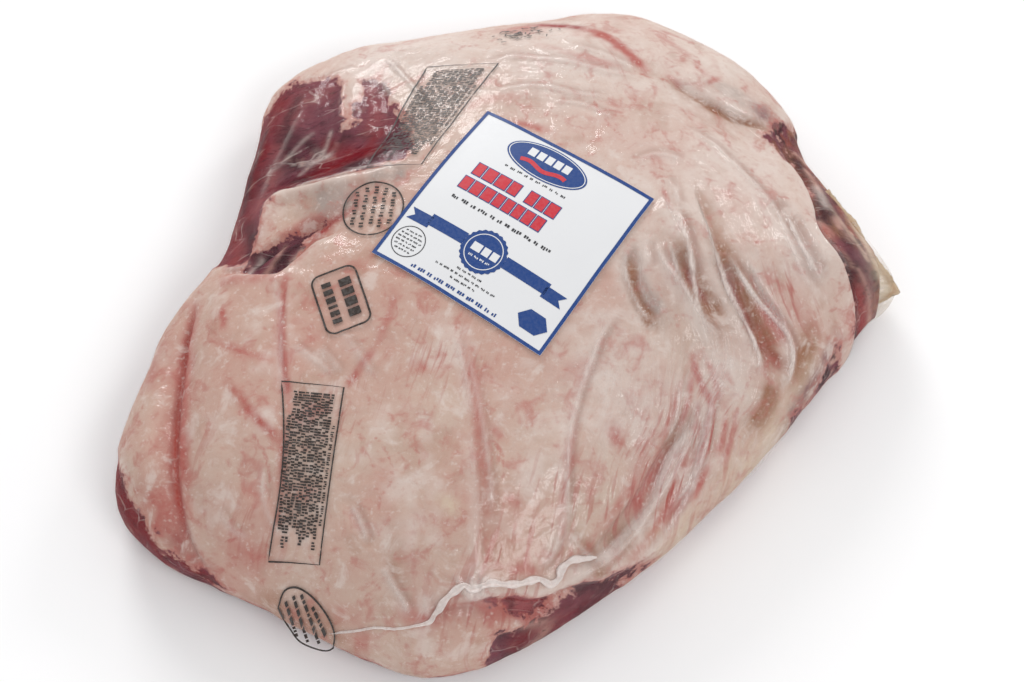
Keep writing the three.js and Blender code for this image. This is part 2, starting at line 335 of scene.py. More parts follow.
# The lean that shows through or beside the fat, seen from above: outline and colour
LEAN_AREAS = [
    ([(-101, 15), (-98, 27), (-96, 38), (-90, 43), (-80, 46), (-66, 47), (-52, 49), (-42, 50), (-38, 56),
      (-42, 68), (-47, 80), (-52, 92), (-60, 96), (-62, 84), (-61, 74), (-66, 72), (-68, 82), (-67, 94),
      (-72, 100), (-84, 103), (-96, 99), (-106, 84), (-114, 62), (-120, 38), (-116, 20),
      (-108, 14)], LEAN_PURPLE),
    ([(-104, 10), (-99, 17), (-93, 20), (-86, 23), (-78, 25), (-72, 26), (-76, 21), (-81, 16), (-85, 9),
      (-91, 6), (-98, 6)], LEAN_PURPLE),
    ([(103, 77), (111, 63), (115, 53), (117, 42), (118, 29), (124, 19), (130, 10), (133, 2), (131, -6),
      (150, -8), (165, 20), (145, 50), (128, 78), (110, 84)], LEAN_BROWN),
    ([(99, 72), (104, 76), (112, 66), (114, 58), (106, 62)], LEAN_PURPLE),
    ([(-12, -120), (0, -118), (10, -118), (20, -114), (14, -118), (8, -124), (0, -124)], LEAN_ROSE),
    ([(-9, -136), (-5, -130), (1, -128), (6, -126), (11, -121), (18, -116), (26, -111), (35, -107),
      (44, -102), (52, -97), (60, -98), (58, -108), (30, -128), (8, -144)], LEAN_PURPLE),
    ([(-160, -44), (-150, -52), (-147, -64), (-144, -74), (-140, -81), (-134, -88), (-131, -95),
      (-150, -98), (-165, -80)], LEAN_RED),
    ([(-131, -96), (-124, -98), (-114, -104), (-104, -111), (-98, -119), (-120, -124),
      (-136, -106)], LEAN_RED),
    ([(122, -13), (120, -20), (116, -28), (112, -36), (106, -42), (112, -42), (120, -32),
      (128, -20)], LEAN_PURPLE),
]

# Random patches of the lean by the free corner: colour, strength, size, seed, and the clouds' values where
# they start and are full
CORNER_PATCHES = [
    (OCHRE, 0.7, 7, 72, 0.1, 0.5), (LEAN_PURPLE, 0.9, 9, 71, 0.0, 0.4), (PINK, 0.85, 4.5, 73, 0.2, 0.45),
    (LEAN_DARK, 0.9, 5, 74, 0.1, 0.35),
]

# Colour laid over the lean: path, width, colour, strength
LEAN_STROKES = [
    ([(-98, 98), (-104, 83), (-108, 66), (-112, 48), (-113, 33), (-113, 18)], 10.0, LEAN_RED, 1.0),
    ([(-98, 71), (-103, 52), (-104, 34)], 2.4, LEAN_RED, 0.8), ([(-106, 30), (-107, 18)], 4.0, BLOOD, 0.7),
    ([(-104, 34), (-101, 26), (-100, 18)], 4.0, LEAN_DARK, 0.8),
    ([(-98, 52), (-92, 62), (-84, 62), (-78, 56)], 5.0, LEAN_DARK, 0.85),
    ([(-90, 48), (-80, 52), (-70, 50)], 3.0, LEAN_RED, 0.9),
    ([(-74, 58), (-68, 62), (-62, 60)], 4.0, LEAN_RED, 0.9),
    ([(-62, 52), (-54, 56), (-48, 62)], 5.0, LEAN_DARK, 0.85),
    ([(-56, 70), (-54, 80), (-57, 90)], 4.0, LEAN_ROSE, 0.8),
    ([(-98, 44), (-96, 56), (-94, 70)], 3.0, LEAN_ROSE, 0.5),
    ([(-70, 66), (-73, 62), (-78, 66)], 1.4, PALE, 0.5),
    ([(-90, 80), (-84, 92), (-74, 94)], 6.0, LEAN_ROSE, 0.55),
    ([(-94, 58), (-98, 48), (-99, 38)], 3.6, LEAN_ROSE, 0.6),
    ([(-88, 74), (-82, 70), (-76, 65)], 3.2, LEAN_DARK, 0.9),
    ([(-86, 52), (-78, 50), (-68, 53), (-58, 51)], 3.4, LEAN_DARK, 0.85),
    ([(-74, 68), (-70, 65)], 2.6, LEAN_RED, 1.0), ([(-84, 61), (-78, 61), (-73, 63)], 0.9, PALE, 0.7),
    ([(-94, 92), (-99, 76), (-105, 60), (-109, 43), (-110, 30)], 3.0, LEAN_RED, 1.0),
    ([(120, 52), (126, 40)], 4.0, LEAN_PURPLE, 0.9), ([(124, 34), (130, 26)], 4.0, LEAN_DARK, 1.0),
    ([(131, 22), (138, 14)], 5.0, LEAN_DARK, 0.9), ([(136, 8), (140, 2), (138, -6)], 5.0, BLOOD, 0.7),
    ([(122, 60), (134, 42), (146, 24)], 2.0, OCHRE, 0.9),
    ([(2, -131), (18, -124), (32, -116), (48, -105), (64, -92)], 4.0, LEAN_RED, 1.0),
    ([(-4, -131), (4, -127), (12, -122)], 2.0, LEAN_DARK, 0.9),
    ([(24, -113), (36, -108), (48, -100)], 2.2, LEAN_DARK, 0.7),
    ([(0, -138), (20, -130), (44, -114), (70, -90)], 2.0, LEAN_BROWN, 0.7),
    ([(109, 70), (116, 56), (121, 42), (126, 30)], 2.4, OCHRE, 0.8),
    ([(113, 66), (118, 50), (122, 36)], 2.6, LEAN_DARK, 1.0),
    ([(128, 22), (132, 14), (134, 10)], 3.4, LEAN_DARK, 1.0),
    ([(134, 8), (137, 3), (136, -3)], 4.0, BLOOD, 0.9), ([(133, 43), (139, 30), (143, 18)], 2.4, WAX, 0.9),
    ([(-101, 9), (-97, 15)], 1.2, PALE, 0.7), ([(-94, 8), (-90, 13), (-88, 19)], 1.3, PINK, 0.9),
    ([(-90, 11), (-84, 17), (-78, 21)], 2.0, LEAN_DARK, 1.0), ([(-98, 11), (-94, 16)], 1.8, LEAN_DARK, 0.9),
    ([(-84, 11), (-80, 16)], 1.2, CREAM, 0.7), ([(-99, 80), (-104, 60), (-106, 44)], 2.0, LEAN_DARK, 0.8),
    ([(-88, 66), (-90, 80), (-86, 92)], 2.2, LEAN_DARK, 0.7),
    ([(-84, 56), (-76, 64), (-72, 72)], 1.0, PALE, 0.55),
    ([(-96, 60), (-88, 66), (-80, 74)], 0.9, PALE, 0.4),
    ([(-76, 50), (-66, 56), (-54, 58)], 3.5, LEAN_RED, 1.0), ([(-58, 60), (-52, 68)], 2.5, LEAN_RED, 0.8),
    ([(107, 66), (113, 54), (117, 40)], 1.2, PINK, 0.8),
    ([(116, 62), (122, 46), (127, 34)], 1.3, PINK, 0.9),
    ([(119, 34), (124, 26), (131, 16)], 1.4, PINK, 0.9), ([(124, 44), (132, 32), (138, 22)], 1.1, WAX, 0.8),
    ([(134, 15), (140, 7), (140, -2)], 1.2, PINK, 0.7), ([(120, 48), (124, 40)], 3.0, LEAN_DARK, 1.0),
    ([(132, 0), (136, -4)], 2.4, LEAN_DARK, 0.9), ([(126, 20), (131, 10), (134, 2)], 1.6, LEAN_DARK, 0.9),
    ([(10, -134), (26, -126), (44, -113)], 1.2, PINK, 0.5),
    ([(4, -127), (22, -121), (38, -112), (54, -99)], 1.1, PINK, 0.6),
    ([(14, -131), (34, -121), (56, -104)], 2.4, BLOOD, 0.8),
    ([(2, -136), (12, -131), (20, -128)], 3.0, LEAN_ROSE, 0.6), ([(111, 58), (116, 48)], 2.4, ROSE, 0.8),
    ([(119, 52), (122, 44)], 2.0, PALE, 0.6), ([(121, 30), (126, 24)], 2.4, ROSE, 0.8),
    ([(127, 38), (131, 30)], 2.2, PINK, 0.7), ([(126, 25), (132, 21)], 3.0, LEAN_PURPLE, 1.0),
    ([(134, 24), (139, 12)], 2.4, LEAN_PURPLE, 0.8),
]

# Colour laid over the fat: path, width, colour, strength; the grey rows are painted shade, with a painted
# sheen of the film by the high panel
FAT_STROKES = [
    ([(-109, 22), (-110, 16)], 5.0, WAX, 0.8),
    ([(-121, 0), (-123, -20), (-123, -44), (-122, -66), (-121, -84)], 3.6, ROSE, 0.75),
    ([(-122, -4), (-124, -20), (-125, -44), (-125, -60), (-124, -76), (-120, -92)], 1.7, FLUSH, 1.2),
    ([(-58, 32), (-66, 27), (-73, 23), (-79, 19)], 2.4, ROSE, 1.0),
    ([(-64, 28), (-71, 24), (-77, 20)], 1.2, BLOOD, 0.7),
    ([(-85, 2), (-86, -16), (-85, -32), (-82, -50)], 1.0, ROSE, 0.9),
    ([(-126, -10), (-128, -40), (-127, -74), (-124, -94)], 5.0, ROSE, 0.3),
    ([(-126, -84), (-124, -94), (-118, -102), (-108, -110)], 5.0, BLOOD, 0.5),
    ([(-134, -76), (-130, -84), (-130, -92)], 6.0, ROSE, 0.6),
    ([(-150, -30), (-152, -50), (-152, -66)], 4.0, ROSE, 0.8),
    ([(-140, -4), (-146, -20), (-150, -34)], 3.0, ROSE, 0.6),
    ([(-130, -10), (-136, -22), (-137, -34)], 4.0, ROSE, 0.35),
    ([(-109, -8), (-108, -17)], 1.6, ROSE, 0.75), ([(-112, -21), (-101, -28), (-90, -33)], 2.2, ROSE, 0.45),
    ([(-106, -40), (-97, -52), (-90, -59), (-84, -66)], 2.2, FLUSH, 0.75),
    ([(-86, -4), (-86, -20), (-84, -36), (-82, -52)], 1.8, ROSE, 0.75),
    ([(-84, -56), (-84, -70), (-85, -84)], 2.4, ROSE, 0.5),
    ([(-61, -44), (-56, -37), (-51, -30)], 1.9, FLUSH, 0.8),
    ([(-51, -30), (-46, -18), (-44, -8)], 2.0, ROSE, 0.4),
    ([(-60, 4), (-62, -4), (-58, -14)], 3.0, ROSE, 0.3),
    ([(-112, 10), (-104, 4), (-96, 3), (-88, 2)], 3.5, ROSE, 0.5),
    ([(-108, 14), (-102, 12)], 3.0, BLOOD, 0.5), ([(-97, 36), (-98, 26), (-100, 18)], 3.0, ROSE, 0.7),
    ([(-88, 22), (-78, 27), (-66, 32), (-58, 38)], 3.0, ROSE, 0.7),
    ([(-84, 36), (-74, 34), (-66, 36)], 5.0, OCHRE, 0.35),
    # The two grey rows here, by the high panel, are painted shade and a painted sheen of the film
    ([(-56, 44), (-48, 42), (-40, 44)], 5.0, GREY_SHADE_AND_SHEEN, 0.7),
    ([(-76, 33), (-66, 34), (-60, 31)], 7.0, GREY_SHADE_AND_SHEEN, 0.85),
    ([(8, 125), (20, 123), (29, 118)], 2.4, BLOOD, 0.8),
    ([(29, 118), (39, 111), (45, 104), (52, 95)], 2.6, ROSE, 0.95), ([(-6, 121), (8, 124)], 3.0, ROSE, 0.5),
    ([(10, 108), (25, 101), (41, 96)], 1.8, ROSE, 0.4), ([(-20, 74), (-8, 78), (4, 80)], 3.0, ROSE, 0.3),
    ([(-1, 66), (6, 64), (14, 60)], 2.5, ROSE, 0.6), ([(60, 118), (66, 112), (72, 106)], 2.0, ROSE, 0.35),
    ([(82, 98), (76, 92)], 1.6, ROSE, 0.6), ([(60, 94), (66, 90)], 1.4, ROSE, 0.7),
    ([(72, 86), (82, 80), (94, 77), (102, 76)], 2.2, OCHRE, 0.85),
    # The grey rows on this line and the next are painted shade in a fold and in a drape's hollow
    ([(78, 92), (88, 90), (94, 84)], 5.0, GREY_SHADE_AND_SHEEN, 0.45), ([(96, 88), (100, 80)], 5.0, LEAN_PURPLE, 0.4),
    ([(56, 34), (59, 24)], 1.2, ROSE, 0.7), ([(44, 8), (44, -2), (50, -12), (56, -18)], 4.5, GREY_SHADE_AND_SHEEN, 0.65),
    ([(43, 2), (46, -10), (51, -21)], 3.0, OCHRE, 1.5),
    ([(62, 9), (65, -1), (70, -9), (78, -17)], 3.8, OCHRE, 1.8),
    ([(64, 3), (67, -5), (72, -11)], 1.8, LEAN_BROWN, 0.85),
    ([(76, 12), (80, 2), (85, -8), (91, -17), (97, -26)], 4.8, OCHRE, 1.8),
    ([(79, 2), (83, -7), (88, -15), (94, -22)], 3.0, LEAN_BROWN, 1.0),
    ([(92, -20), (97, -26), (101, -27)], 3.5, LEAN_BROWN, 0.7),
    ([(92, -8), (98, -14), (103, -20)], 3.0, ROSE, 0.7),
    ([(104, -4), (110, -10), (114, -16)], 5.0, ROSE, 0.3),
    ([(112, -14), (109, -24), (106, -32)], 4.0, OCHRE, 1.0),
    ([(98, -34), (94, -44), (88, -50)], 4.0, OCHRE, 1.0),
    ([(118, -20), (110, -34), (100, -48), (88, -62), (76, -74)], 6.0, WAX, 0.6),
    ([(124, -12), (116, -26), (108, -38), (102, -46)], 3.6, LEAN_PURPLE, 0.6),
    ([(66, -31), (68, -38), (72, -44), (74, -50)], 1.6, ROSE, 1.0),
    ([(71, -30), (74, -38), (76, -46)], 1.3, ROSE, 0.6),
    ([(73, -46), (70, -56), (68, -65)], 1.6, BLOOD, 0.65), ([(68, -46), (66, -56)], 1.2, BLOOD, 0.5),
    ([(62, -60), (57, -66), (53, -74)], 2.0, BLOOD, 0.55),
    ([(57, -64), (51, -74), (44, -86)], 3.0, ROSE, 0.9),
    ([(66, -36), (64, -46), (62, -56)], 1.4, ROSE, 0.8),
    ([(60, -42), (58, -52), (54, -62)], 1.4, ROSE, 0.6),
    ([(70, -62), (64, -76), (56, -88)], 1.8, BLOOD, 0.35), ([(72, -66), (66, -78)], 1.6, ROSE, 0.8),
    ([(60, -78), (52, -90), (42, -100)], 1.6, ROSE, 0.8),
    ([(48, -70), (40, -84), (32, -94)], 2.4, ROSE, 0.5),
    ([(64, -62), (60, -76), (52, -90)], 3.4, ROSE, 0.5),
    ([(78, -44), (78, -54), (75, -62)], 1.6, ROSE, 0.6), ([(82, -46), (82, -54)], 1.4, ROSE, 0.5),
    ([(36, -58), (38, -66)], 3.0, ROSE, 0.5), ([(48, -60), (46, -72), (38, -84)], 3.0, ROSE, 0.3),
    ([(95, -21), (92, -17)], 3.0, OCHRE, 0.8), ([(44, -90), (36, -100)], 3.0, OCHRE, 0.7),
    ([(24, -99), (30, -104), (34, -108)], 3.5, OCHRE, 0.8),
    ([(48, -96), (60, -88), (72, -78)], 4.0, WAX, 0.5),
    ([(-18, -26), (-14, -50), (-12, -70)], 2.4, PINK, 0.9),
    ([(-12, -60), (-10, -78), (-8, -96), (-6, -112)], 4.0, OCHRE, 0.36),
    ([(-18, -28), (-14, -50), (-11, -76), (-8, -100)], 3.0, ROSE, 0.34),
    ([(22, -60), (18, -80), (17, -100)], 2.0, ROSE, 0.5), ([(28, -36), (24, -46)], 2.0, ROSE, 0.3),
    ([(16, -40), (30, -36)], 5.0, ROSE, 0.3), ([(-36, -36), (-32, -40)], 2.5, ROSE, 0.45),
    ([(-8, -62), (-4, -66)], 2.0, ROSE, 0.5), ([(-2, -86), (2, -90)], 2.5, ROSE, 0.45),
    ([(-26, -88), (-20, -92)], 3.5, WAX, 0.8), ([(-46, -74), (-50, -86), (-44, -96)], 6.0, PINK, 0.6),
    ([(-44, -98), (-42, -108), (-38, -118)], 4.0, OCHRE, 0.32),
    ([(-40, -124), (-32, -127), (-26, -125)], 3.5, ROSE, 0.75),
    ([(-66, -122), (-54, -124)], 3.0, ROSE, 0.35),
    ([(-14, -120), (-8, -124), (0, -122), (8, -120), (14, -118)], 3.0, ROSE, 0.7),
    ([(0, -110), (8, -110)], 3.0, ROSE, 0.55), ([(0, -120), (8, -124), (18, -120)], 4.0, BLOOD, 0.6),
    ([(-58, -130), (-52, -132)], 4.0, ROSE, 0.45),
    ([(-96, -113), (-84, -117), (-70, -124), (-60, -132)], 4.0, OCHRE, 0.35),
    ([(-140, -90), (-130, -98), (-120, -104)], 3.5, WAX, 0.9),
    ([(-104, -96), (-96, -102), (-90, -106)], 5.0, ROSE, 0.4),
    ([(-100, -84), (-92, -88), (-86, -96)], 6.0, PINK, 0.7),
]

# Patches of paler or pinker fat, and patches of painted shade (the hollow and grey ones): centre, half width,
# colour, strength
FAT_PATCHES = [
    ((-136, -40), 14, CREAM, 0.5), ((-104, -70), 15, CREAM, 0.6), ((-96, -12), 9, CREAM, 0.6),
    ((-45, -70), 26, CREAM, 0.6), ((-30, -58), 16, CREAM, 0.7), ((-26, -104), 14, CREAM, 0.5),
    ((40, -42), 22, PALE, 0.75), ((74, 50), 34, PALE, 0.7), ((16, 100), 30, PALE, 0.55),
    ((60, 100), 30, PALE, 0.65), ((48, 10), 16, PALE, 0.3), ((8, -70), 14, CREAM, 0.6),
    ((78, -34), 9, PALE, 0.95), ((84, -42), 6, PALE, 0.8), ((56, 60), 20, PINK, 0.35),
    ((30, 76), 16, PINK, 0.4), ((30, 112), 18, PALE, 0.5), ((10, 98), 14, PALE, 0.6),
    # The two full-strength pale patches on this line are partly pale fat and partly a painted sheen
    ((-30, 108), 20, PALE, 1.0), ((-52, 112), 18, PALE, 1.0), ((-20, -128), 26, CREAM, 0.4),
    ((86, 44), 18, PALE, 0.45), ((112, 20), 9, PALE, 0.9), ((80, 108), 16, PALE, 0.5),
    ((-70, -20), 12, PINK, 0.5), ((-60, -100), 12, PINK, 0.5), ((-90, -95), 14, PINK, 0.6),
    # The grey patch on this line is painted shade
    ((-70, 33), 9, GREY_SHADE_AND_SHEEN, 0.75), ((-60, 104), 9, PALE, 0.8), ((-64, 84), 3, PALE, 0.9),
    ((62, -66), 14, PINK, 0.5), ((0, -44), 14, PINK, 0.5), ((-20, -130), 22, PINK, 0.45),
    # The two hollow patches on this line are painted shade between the drapes
    ((56, -4), 14, HOLLOW_SHADE, 0.35), ((80, -10), 13, HOLLOW_SHADE, 0.4), ((106, 0), 8, PINK, 0.6),
    ((-124, -44), 14, PINK, 0.35), ((-42, 64), 6, PALE, 0.4), ((48, 84), 18, CREAM, 0.5),
    ((-104, -24), 30, PINK, 0.4), ((-62, -14), 24, PINK, 0.4),
]

# Thin veins of the fat, as paths
VEINS = [
    [(-108, -24), (-101, -28), (-94, -32), (-88, -33)], [(-86, 4), (-87, -16), (-86, -34), (-82, -50)],
    [(-122, -84), (-114, -90), (-106, -96), (-98, -96)],
    [(-121, -88), (-114, -99), (-104, -106), (-92, -112)], [(56, 40), (57, 30), (59, 22)],
    [(30, 90), (32, 74), (38, 62), (44, 56)], [(44, 96), (52, 92), (62, 90), (66, 84)],
    [(90, -30), (84, -44), (80, -56), (78, -68)], [(66, -58), (60, -70), (50, -82)],
    [(70, -40), (66, -56), (60, -66)], [(74, -50), (66, -66), (56, -78)], [(62, -40), (57, -54), (50, -64)],
    [(80, 18), (90, 14), (102, 18)], [(-30, 120), (-22, 112), (-10, 108)],
    [(-70, 110), (-62, 104), (-56, 108)], [(-142, -20), (-140, -34), (-138, -46)],
    [(-96, -60), (-90, -70), (-88, -82)], [(70, 112), (74, 106), (72, 98)],
    [(-52, -62), (-46, -70), (-44, -80), (-50, -88)], [(-38, -66), (-34, -74), (-38, -84)],
    [(-10, -64), (-4, -72), (-4, -84)],
]

# Where the fat is flushed with fine red streaks: centre, half width, strength
FLUSHED = [
    ((66, -56), 12, 1.0), ((54, -74), 12, 0.95), ((74, -46), 8, 0.8), ((38, -92), 10, 0.5),
    ((-90, -92), 14, 0.4), ((-26, -36), 16, 0.45), ((18, -84), 14, 0.5), ((104, -4), 12, 0.6),
    ((-120, -60), 12, 0.35), ((44, 100), 14, 0.3), ((60, -66), 24, 0.25), ((-10, -120), 18, 0.6),
    ((-60, -52), 12, 0.4), ((4, -104), 14, 0.4),
]

# Places where the film stands clear of the meat and looks milky: centre, half width, strength
MILKY = [
    ((-52, 92), 7, 0.6), ((-46, 106), 10, 0.3), ((-30, 102), 12, 0.25), ((-74, 82), 10, 0.10),
    ((78, -34), 9, 0.35), ((10, 96), 20, 0.12), ((112, 14), 8, 0.3), ((-94, 58), 7, 0.12),
    ((34, -44), 14, 0.12), ((-14, -116), 5, 0.55), ((-84, 92), 7, 0.12),
]

# How the film is drawn tight: centre and reach of each area, the way its fine wrinkles run, and their
# height
TENSION = [
    ((10, -45), 40, 66, 1.0), ((-10, -80), 34, 62, 0.6), ((40, -60), 30, 62, 1.0), ((64, -50), 22, 80, 1.2),
    ((70, 5), 30, 112, 1.0), ((100, 20), 24, 118, 1.0), ((20, 92), 34, 168, 1.2), ((60, 84), 24, 150, 0.8),
    ((-45, 98), 24, 30, 1.0), ((-80, 75), 24, 60, 0.8), ((-60, -30), 22, 130, 0.7),
    ((-85, -80), 28, 88, 0.7), ((-125, -40), 26, 92, 0.5), ((-30, -120), 24, 80, 0.9),
    ((30, -105), 26, 40, 1.0), ((90, -50), 24, 50, 0.8),
]

# The way the finest wrinkles run: in the fan below the label's right corner, and in the drapes beside it
FAN_TURN = 74.0
DRAPE_TURN = 112.0
FAN_MEETS_DRAPES = np.array([66.0, -26.0])

# The middle of the film's crimped seal
SEAL = [
    (-67, -127), (-58, -128), (-50, -128), (-41, -129), (-31, -128), (-28, -125), (-23, -120), (-18, -117),
    (-15, -118), (-11, -117), (-8, -116), (-3, -116), (2, -115), (5, -114), (9, -113), (13, -114),
    (16, -112), (17, -109), (20, -106), (25, -104), (30, -103),
]

# The seal's cross-section, in shares of its width and height
SEAL_SECTION = [
    (-1.0, 0.0), (-0.95, 0.6), (-0.7, 1.0), (-0.4, 0.65), (0.0, 0.3), (0.4, 0.65), (0.7, 1.0), (0.95, 0.6),
    (1.0, 0.0), (0.0, -0.3),
]

# The free corner's outer edge, and the line where it leaves the meat
CORNER_OUTER = [
    (124, 54), (133, 43), (142, 29), (149, 18.6), (151.4, 15.6), (148.6, 14.2), (144, 12), (140, 9),
]
CORNER_INNER = [(116, 46), (123, 34), (130, 24), (134, 16), (134, 13), (133, 11), (132, 9)]

# The outline of the stretched stamp, and the ends of its rows of bars
PEAR = [
    (-86, -117), (-83, -113), (-78, -113), (-72, -117), (-67, -123), (-65, -128), (-67, -131), (-71, -131),
    (-78, -128), (-82, -123),
]
PEAR_ROWS = [
    ((-83, -116), (-79, -127)), ((-80, -115), (-75, -129)), ((-77, -115), (-71, -129)),
    ((-73, -119), (-68, -128)),
]

# The title's rows: start, height on the label, and the width of each block, negative for a space
TITLE = [
    (-25.5, 12.2, (3.6, 4.4, 4.8, 3.8, -2.2, 3.6, 3.4, 4.2)),
    (-26.5, 4.6, (3.8, 4.0, 4.2, 3.4, 3.4, 3.4, 3.6, 3.6)),
]


# ---------------------------------------------------------------- the surface


def fine_copy(node):
    """A fine, even copy of a CAD node with its facets smoothed away, as a new mesh in metres."""
    piece = bpy.data.objects.new("fine_copy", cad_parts[node].data.copy())
    bpy.context.scene.collection.objects.link(piece)
    weld = piece.modifiers.new("weld", "WELD")
    weld.merge_threshold = 0.01 * MM
    remesh = piece.modifiers.new("remesh", "REMESH")
    remesh.mode = "VOXEL"
    remesh.voxel_size = VOXEL * MM
    smooth = piece.modifiers.new("smooth", "SMOOTH")
    smooth.factor = 0.6
    smooth.iterations = ROUNDING
    made = bpy.data.meshes.new_from_object(piece.evaluated_get(bpy.context.evaluated_depsgraph_get()))
    bpy.data.objects.remove(piece)
    return made


def drop_underside(mesh):
    """Joins the level faces of the underside into one, which leaves more faces for what shows."""
    bm = bmesh.new()
    bm.from_mesh(mesh)
    low = min(v.co.z for v in bm.verts)
    level = [f for f in bm.faces if all(v.co.z < low + 0.02 * MM for v in f.verts)]
    bmesh.ops.dissolve_faces(bm, faces=level, use_verts=True)
    bm.to_mesh(mesh)
    bm.free()


def read_mesh(mesh):
    """A mesh's vertices in millimetres and its vertex normals."""
    co = np.empty(len(mesh.vertices) * 3)
    mesh.vertices.foreach_get("co", co)
    no = np.empty(len(mesh.vertices) * 3)
    mesh.vertex_normals.foreach_get("vector", no)
    return co.reshape(-1, 3) / MM, no.reshape(-1, 3)


def moved_copy(mesh, name, points):
    """A copy of a mesh with its vertices at points given in millimetres."""
    made = mesh.copy()
    made.name = name
    made.vertices.foreach_set("co", (points * MM).ravel())
    made.update()
    return made


def solid(name, points, faces):
    """A new mesh from points in millimetres."""
    made = bpy.data.meshes.new(name)
    made.from_pydata((np.array(points) * MM).tolist(), [], faces)
    made.update()
    return made


def store(mesh, **kept_values):
    """Keeps a number or a colour on each vertex under each name, for the material to read."""
    for name, values in kept_values.items():
        values = np.asarray(values)
        if values.ndim == 1:
            attribute = mesh.attributes.new(name, "FLOAT", "POINT")
            attribute.data.foreach_set("value", values.astype(np.float32))
        else:
            attribute = mesh.attributes.new(name, "FLOAT_COLOR", "POINT")
            full = np.column_stack([values, np.ones(len(values))]).astype(np.float32)
            attribute.data.foreach_set("color", full.ravel())


def folds(xy, table):
    """How far a table of folds or crests lifts each point."""
    total = np.zeros(len(xy))
    for path, size, width in table:
        distance, share = along(xy, path, 4 * width)
        total += size * ends(share, 0.0, 0.18) * bell(distance, width)
    return total


def steps(xy):
    """How far the steps move each point."""
    total = np.zeros(len(xy))
    for path, size, edge, reach, _, _ in STEPS:
        distance, share = along(xy, path, 3 * reach)
        total += size * ends(share, 0.0, 0.2) * np.tanh(distance / edge) * np.exp(-np.abs(distance) / reach)
    return total


def tension_wrinkles(points):
    """Wrinkles of the film that run the way each area is drawn, from 0 to about 1."""
    total = np.zeros(len(points))
    for i, (centre, reach, degrees, size) in enumerate(TENSION):
        weight = size * spot(points[:, :2], centre, reach)
        here = weight > 0.03
        across = turned(points[here, :2] - centre, -degrees)[:, ::-1]
        place = np.column_stack([across, points[here, 2]])
        place[:, 0] += 1.5 * noise(place, 18, 90 + i)
        broad = 1.0 - np.abs(noise(place / [5.0, 30.0, 40.0], 1.0, 40 + i))
        fine = 1.0 - np.abs(noise(place / [2.8, 18.0, 30.0], 1.0, 70 + i))
        total[here] += weight[here] * (0.6 * broad**6 + 0.3 * fine**5)
    return total


def drawn_place(xy):
    """A place across and along the finest wrinkles, which turn from the fan to the drapes."""
    r = xy - FAN_MEETS_DRAPES
    fan, drape = (turned(r, -degrees)[:, ::-1] for degrees in (FAN_TURN, DRAPE_TURN))
    share = step(-22.0, 22.0, r[:, 1] + 0.4 * r[:, 0])[:, None]
    strength = np.clip(spot(xy, [62, -52], 34) + 0.4 * spot(xy, [76, 4], 30), 0.0, 1.0)
    return np.column_stack([fan * (1 - share) + drape * share, np.zeros(len(xy))]), strength


def mix(base, colour, share):
    """Lays a colour over others by a share at each point."""
    return base + (np.array(colour) - base) * np.clip(share, 0.0, 1.0)[:, None]


def paint_fat(points, xy):
    """The fat's colour at each point, with painted shade and painted highlights along the steps and the
    film's crests.
    """
    colour = mix(np.tile(CREAM, (len(points), 1)), PINK, 0.5 + 0.55 * clouds(points, 26, 3))
    ragged = 0.75 + 0.5 * clouds(points, 9, 8)
    for centre, half, tone, strength in FAT_PATCHES:
        colour = mix(colour, tone, strength * spot(xy, centre, half) * ragged)
    colour = mix(colour, PALE, 0.28 * step(-20.0, 60.0, xy[:, 1] + 0.5 * xy[:, 0]))
    colour = mix(colour, ROSE, 0.25 * patches(points, 7, 21, 0.2, 0.9) * patches(points, 30, 22, -0.3, 0.5))
    colour = mix(colour, OCHRE, 0.22 * patches(points, 11, 23, 0.25, 0.8))
    colour = mix(colour, PALE, 0.55 * patches(points, 13, 24, 0.15, 0.8))
    uneven = 0.8 + 0.4 * clouds(points, 6, 25)
    # Painted shade in each step's colour on its low side, partly the meat's own stain, and painted light in
    # PALE on its high side
    for path, size, _, reach, tone, strength in STEPS:
        distance, share = along(xy, path, 3 * reach)
        below = -distance * math.copysign(1.0, size)
        fade = ends(share, -0.05, 0.2) * uneven
        shade = step(-0.6, 0.6, below) * np.exp(-1.6 * (np.maximum(below, 0.0) / reach) ** 2)
        light = step(-0.6, 0.6, -below) * np.exp(-2.0 * (np.minimum(below, 0.0) / reach) ** 2)
        colour = mix(colour, PALE, 0.7 * min(1.0, abs(size) / 1.5) * light * fade)
        colour = mix(colour, tone, strength * shade * fade)
    # Painted shade on the left of each crest and a painted highlight in PALE on its right, for the look of
    # relief
    for path, size, width in CRESTS:
        distance, share = along(xy, path, 8.0)
        fade = min(max(size / 1.4, 0.3), 1.0) * ends(share, 0.0, 0.2)
        colour = mix(colour, HOLLOW_SHADE, 0.75 * fade * bell(distance - 1.9 * width, 1.2 * width))
        colour = mix(colour, PALE, 0.55 * fade * bell(distance + 1.5 * width, 1.8 * width))
    broken = 1.5 * (0.72 + 0.5 * clouds(points, 5, 31))
    for path, width, tone, strength in FAT_STROKES:
        distance, share = along(xy, path, 3.2 * width)
        mask = np.exp(-(np.abs(distance / (0.88 * width)) ** 2.4))
        colour = mix(colour, tone, strength * (0.35 + 0.65 * ends(share, -0.02, 0.2)) * mask * broken)
    return colour


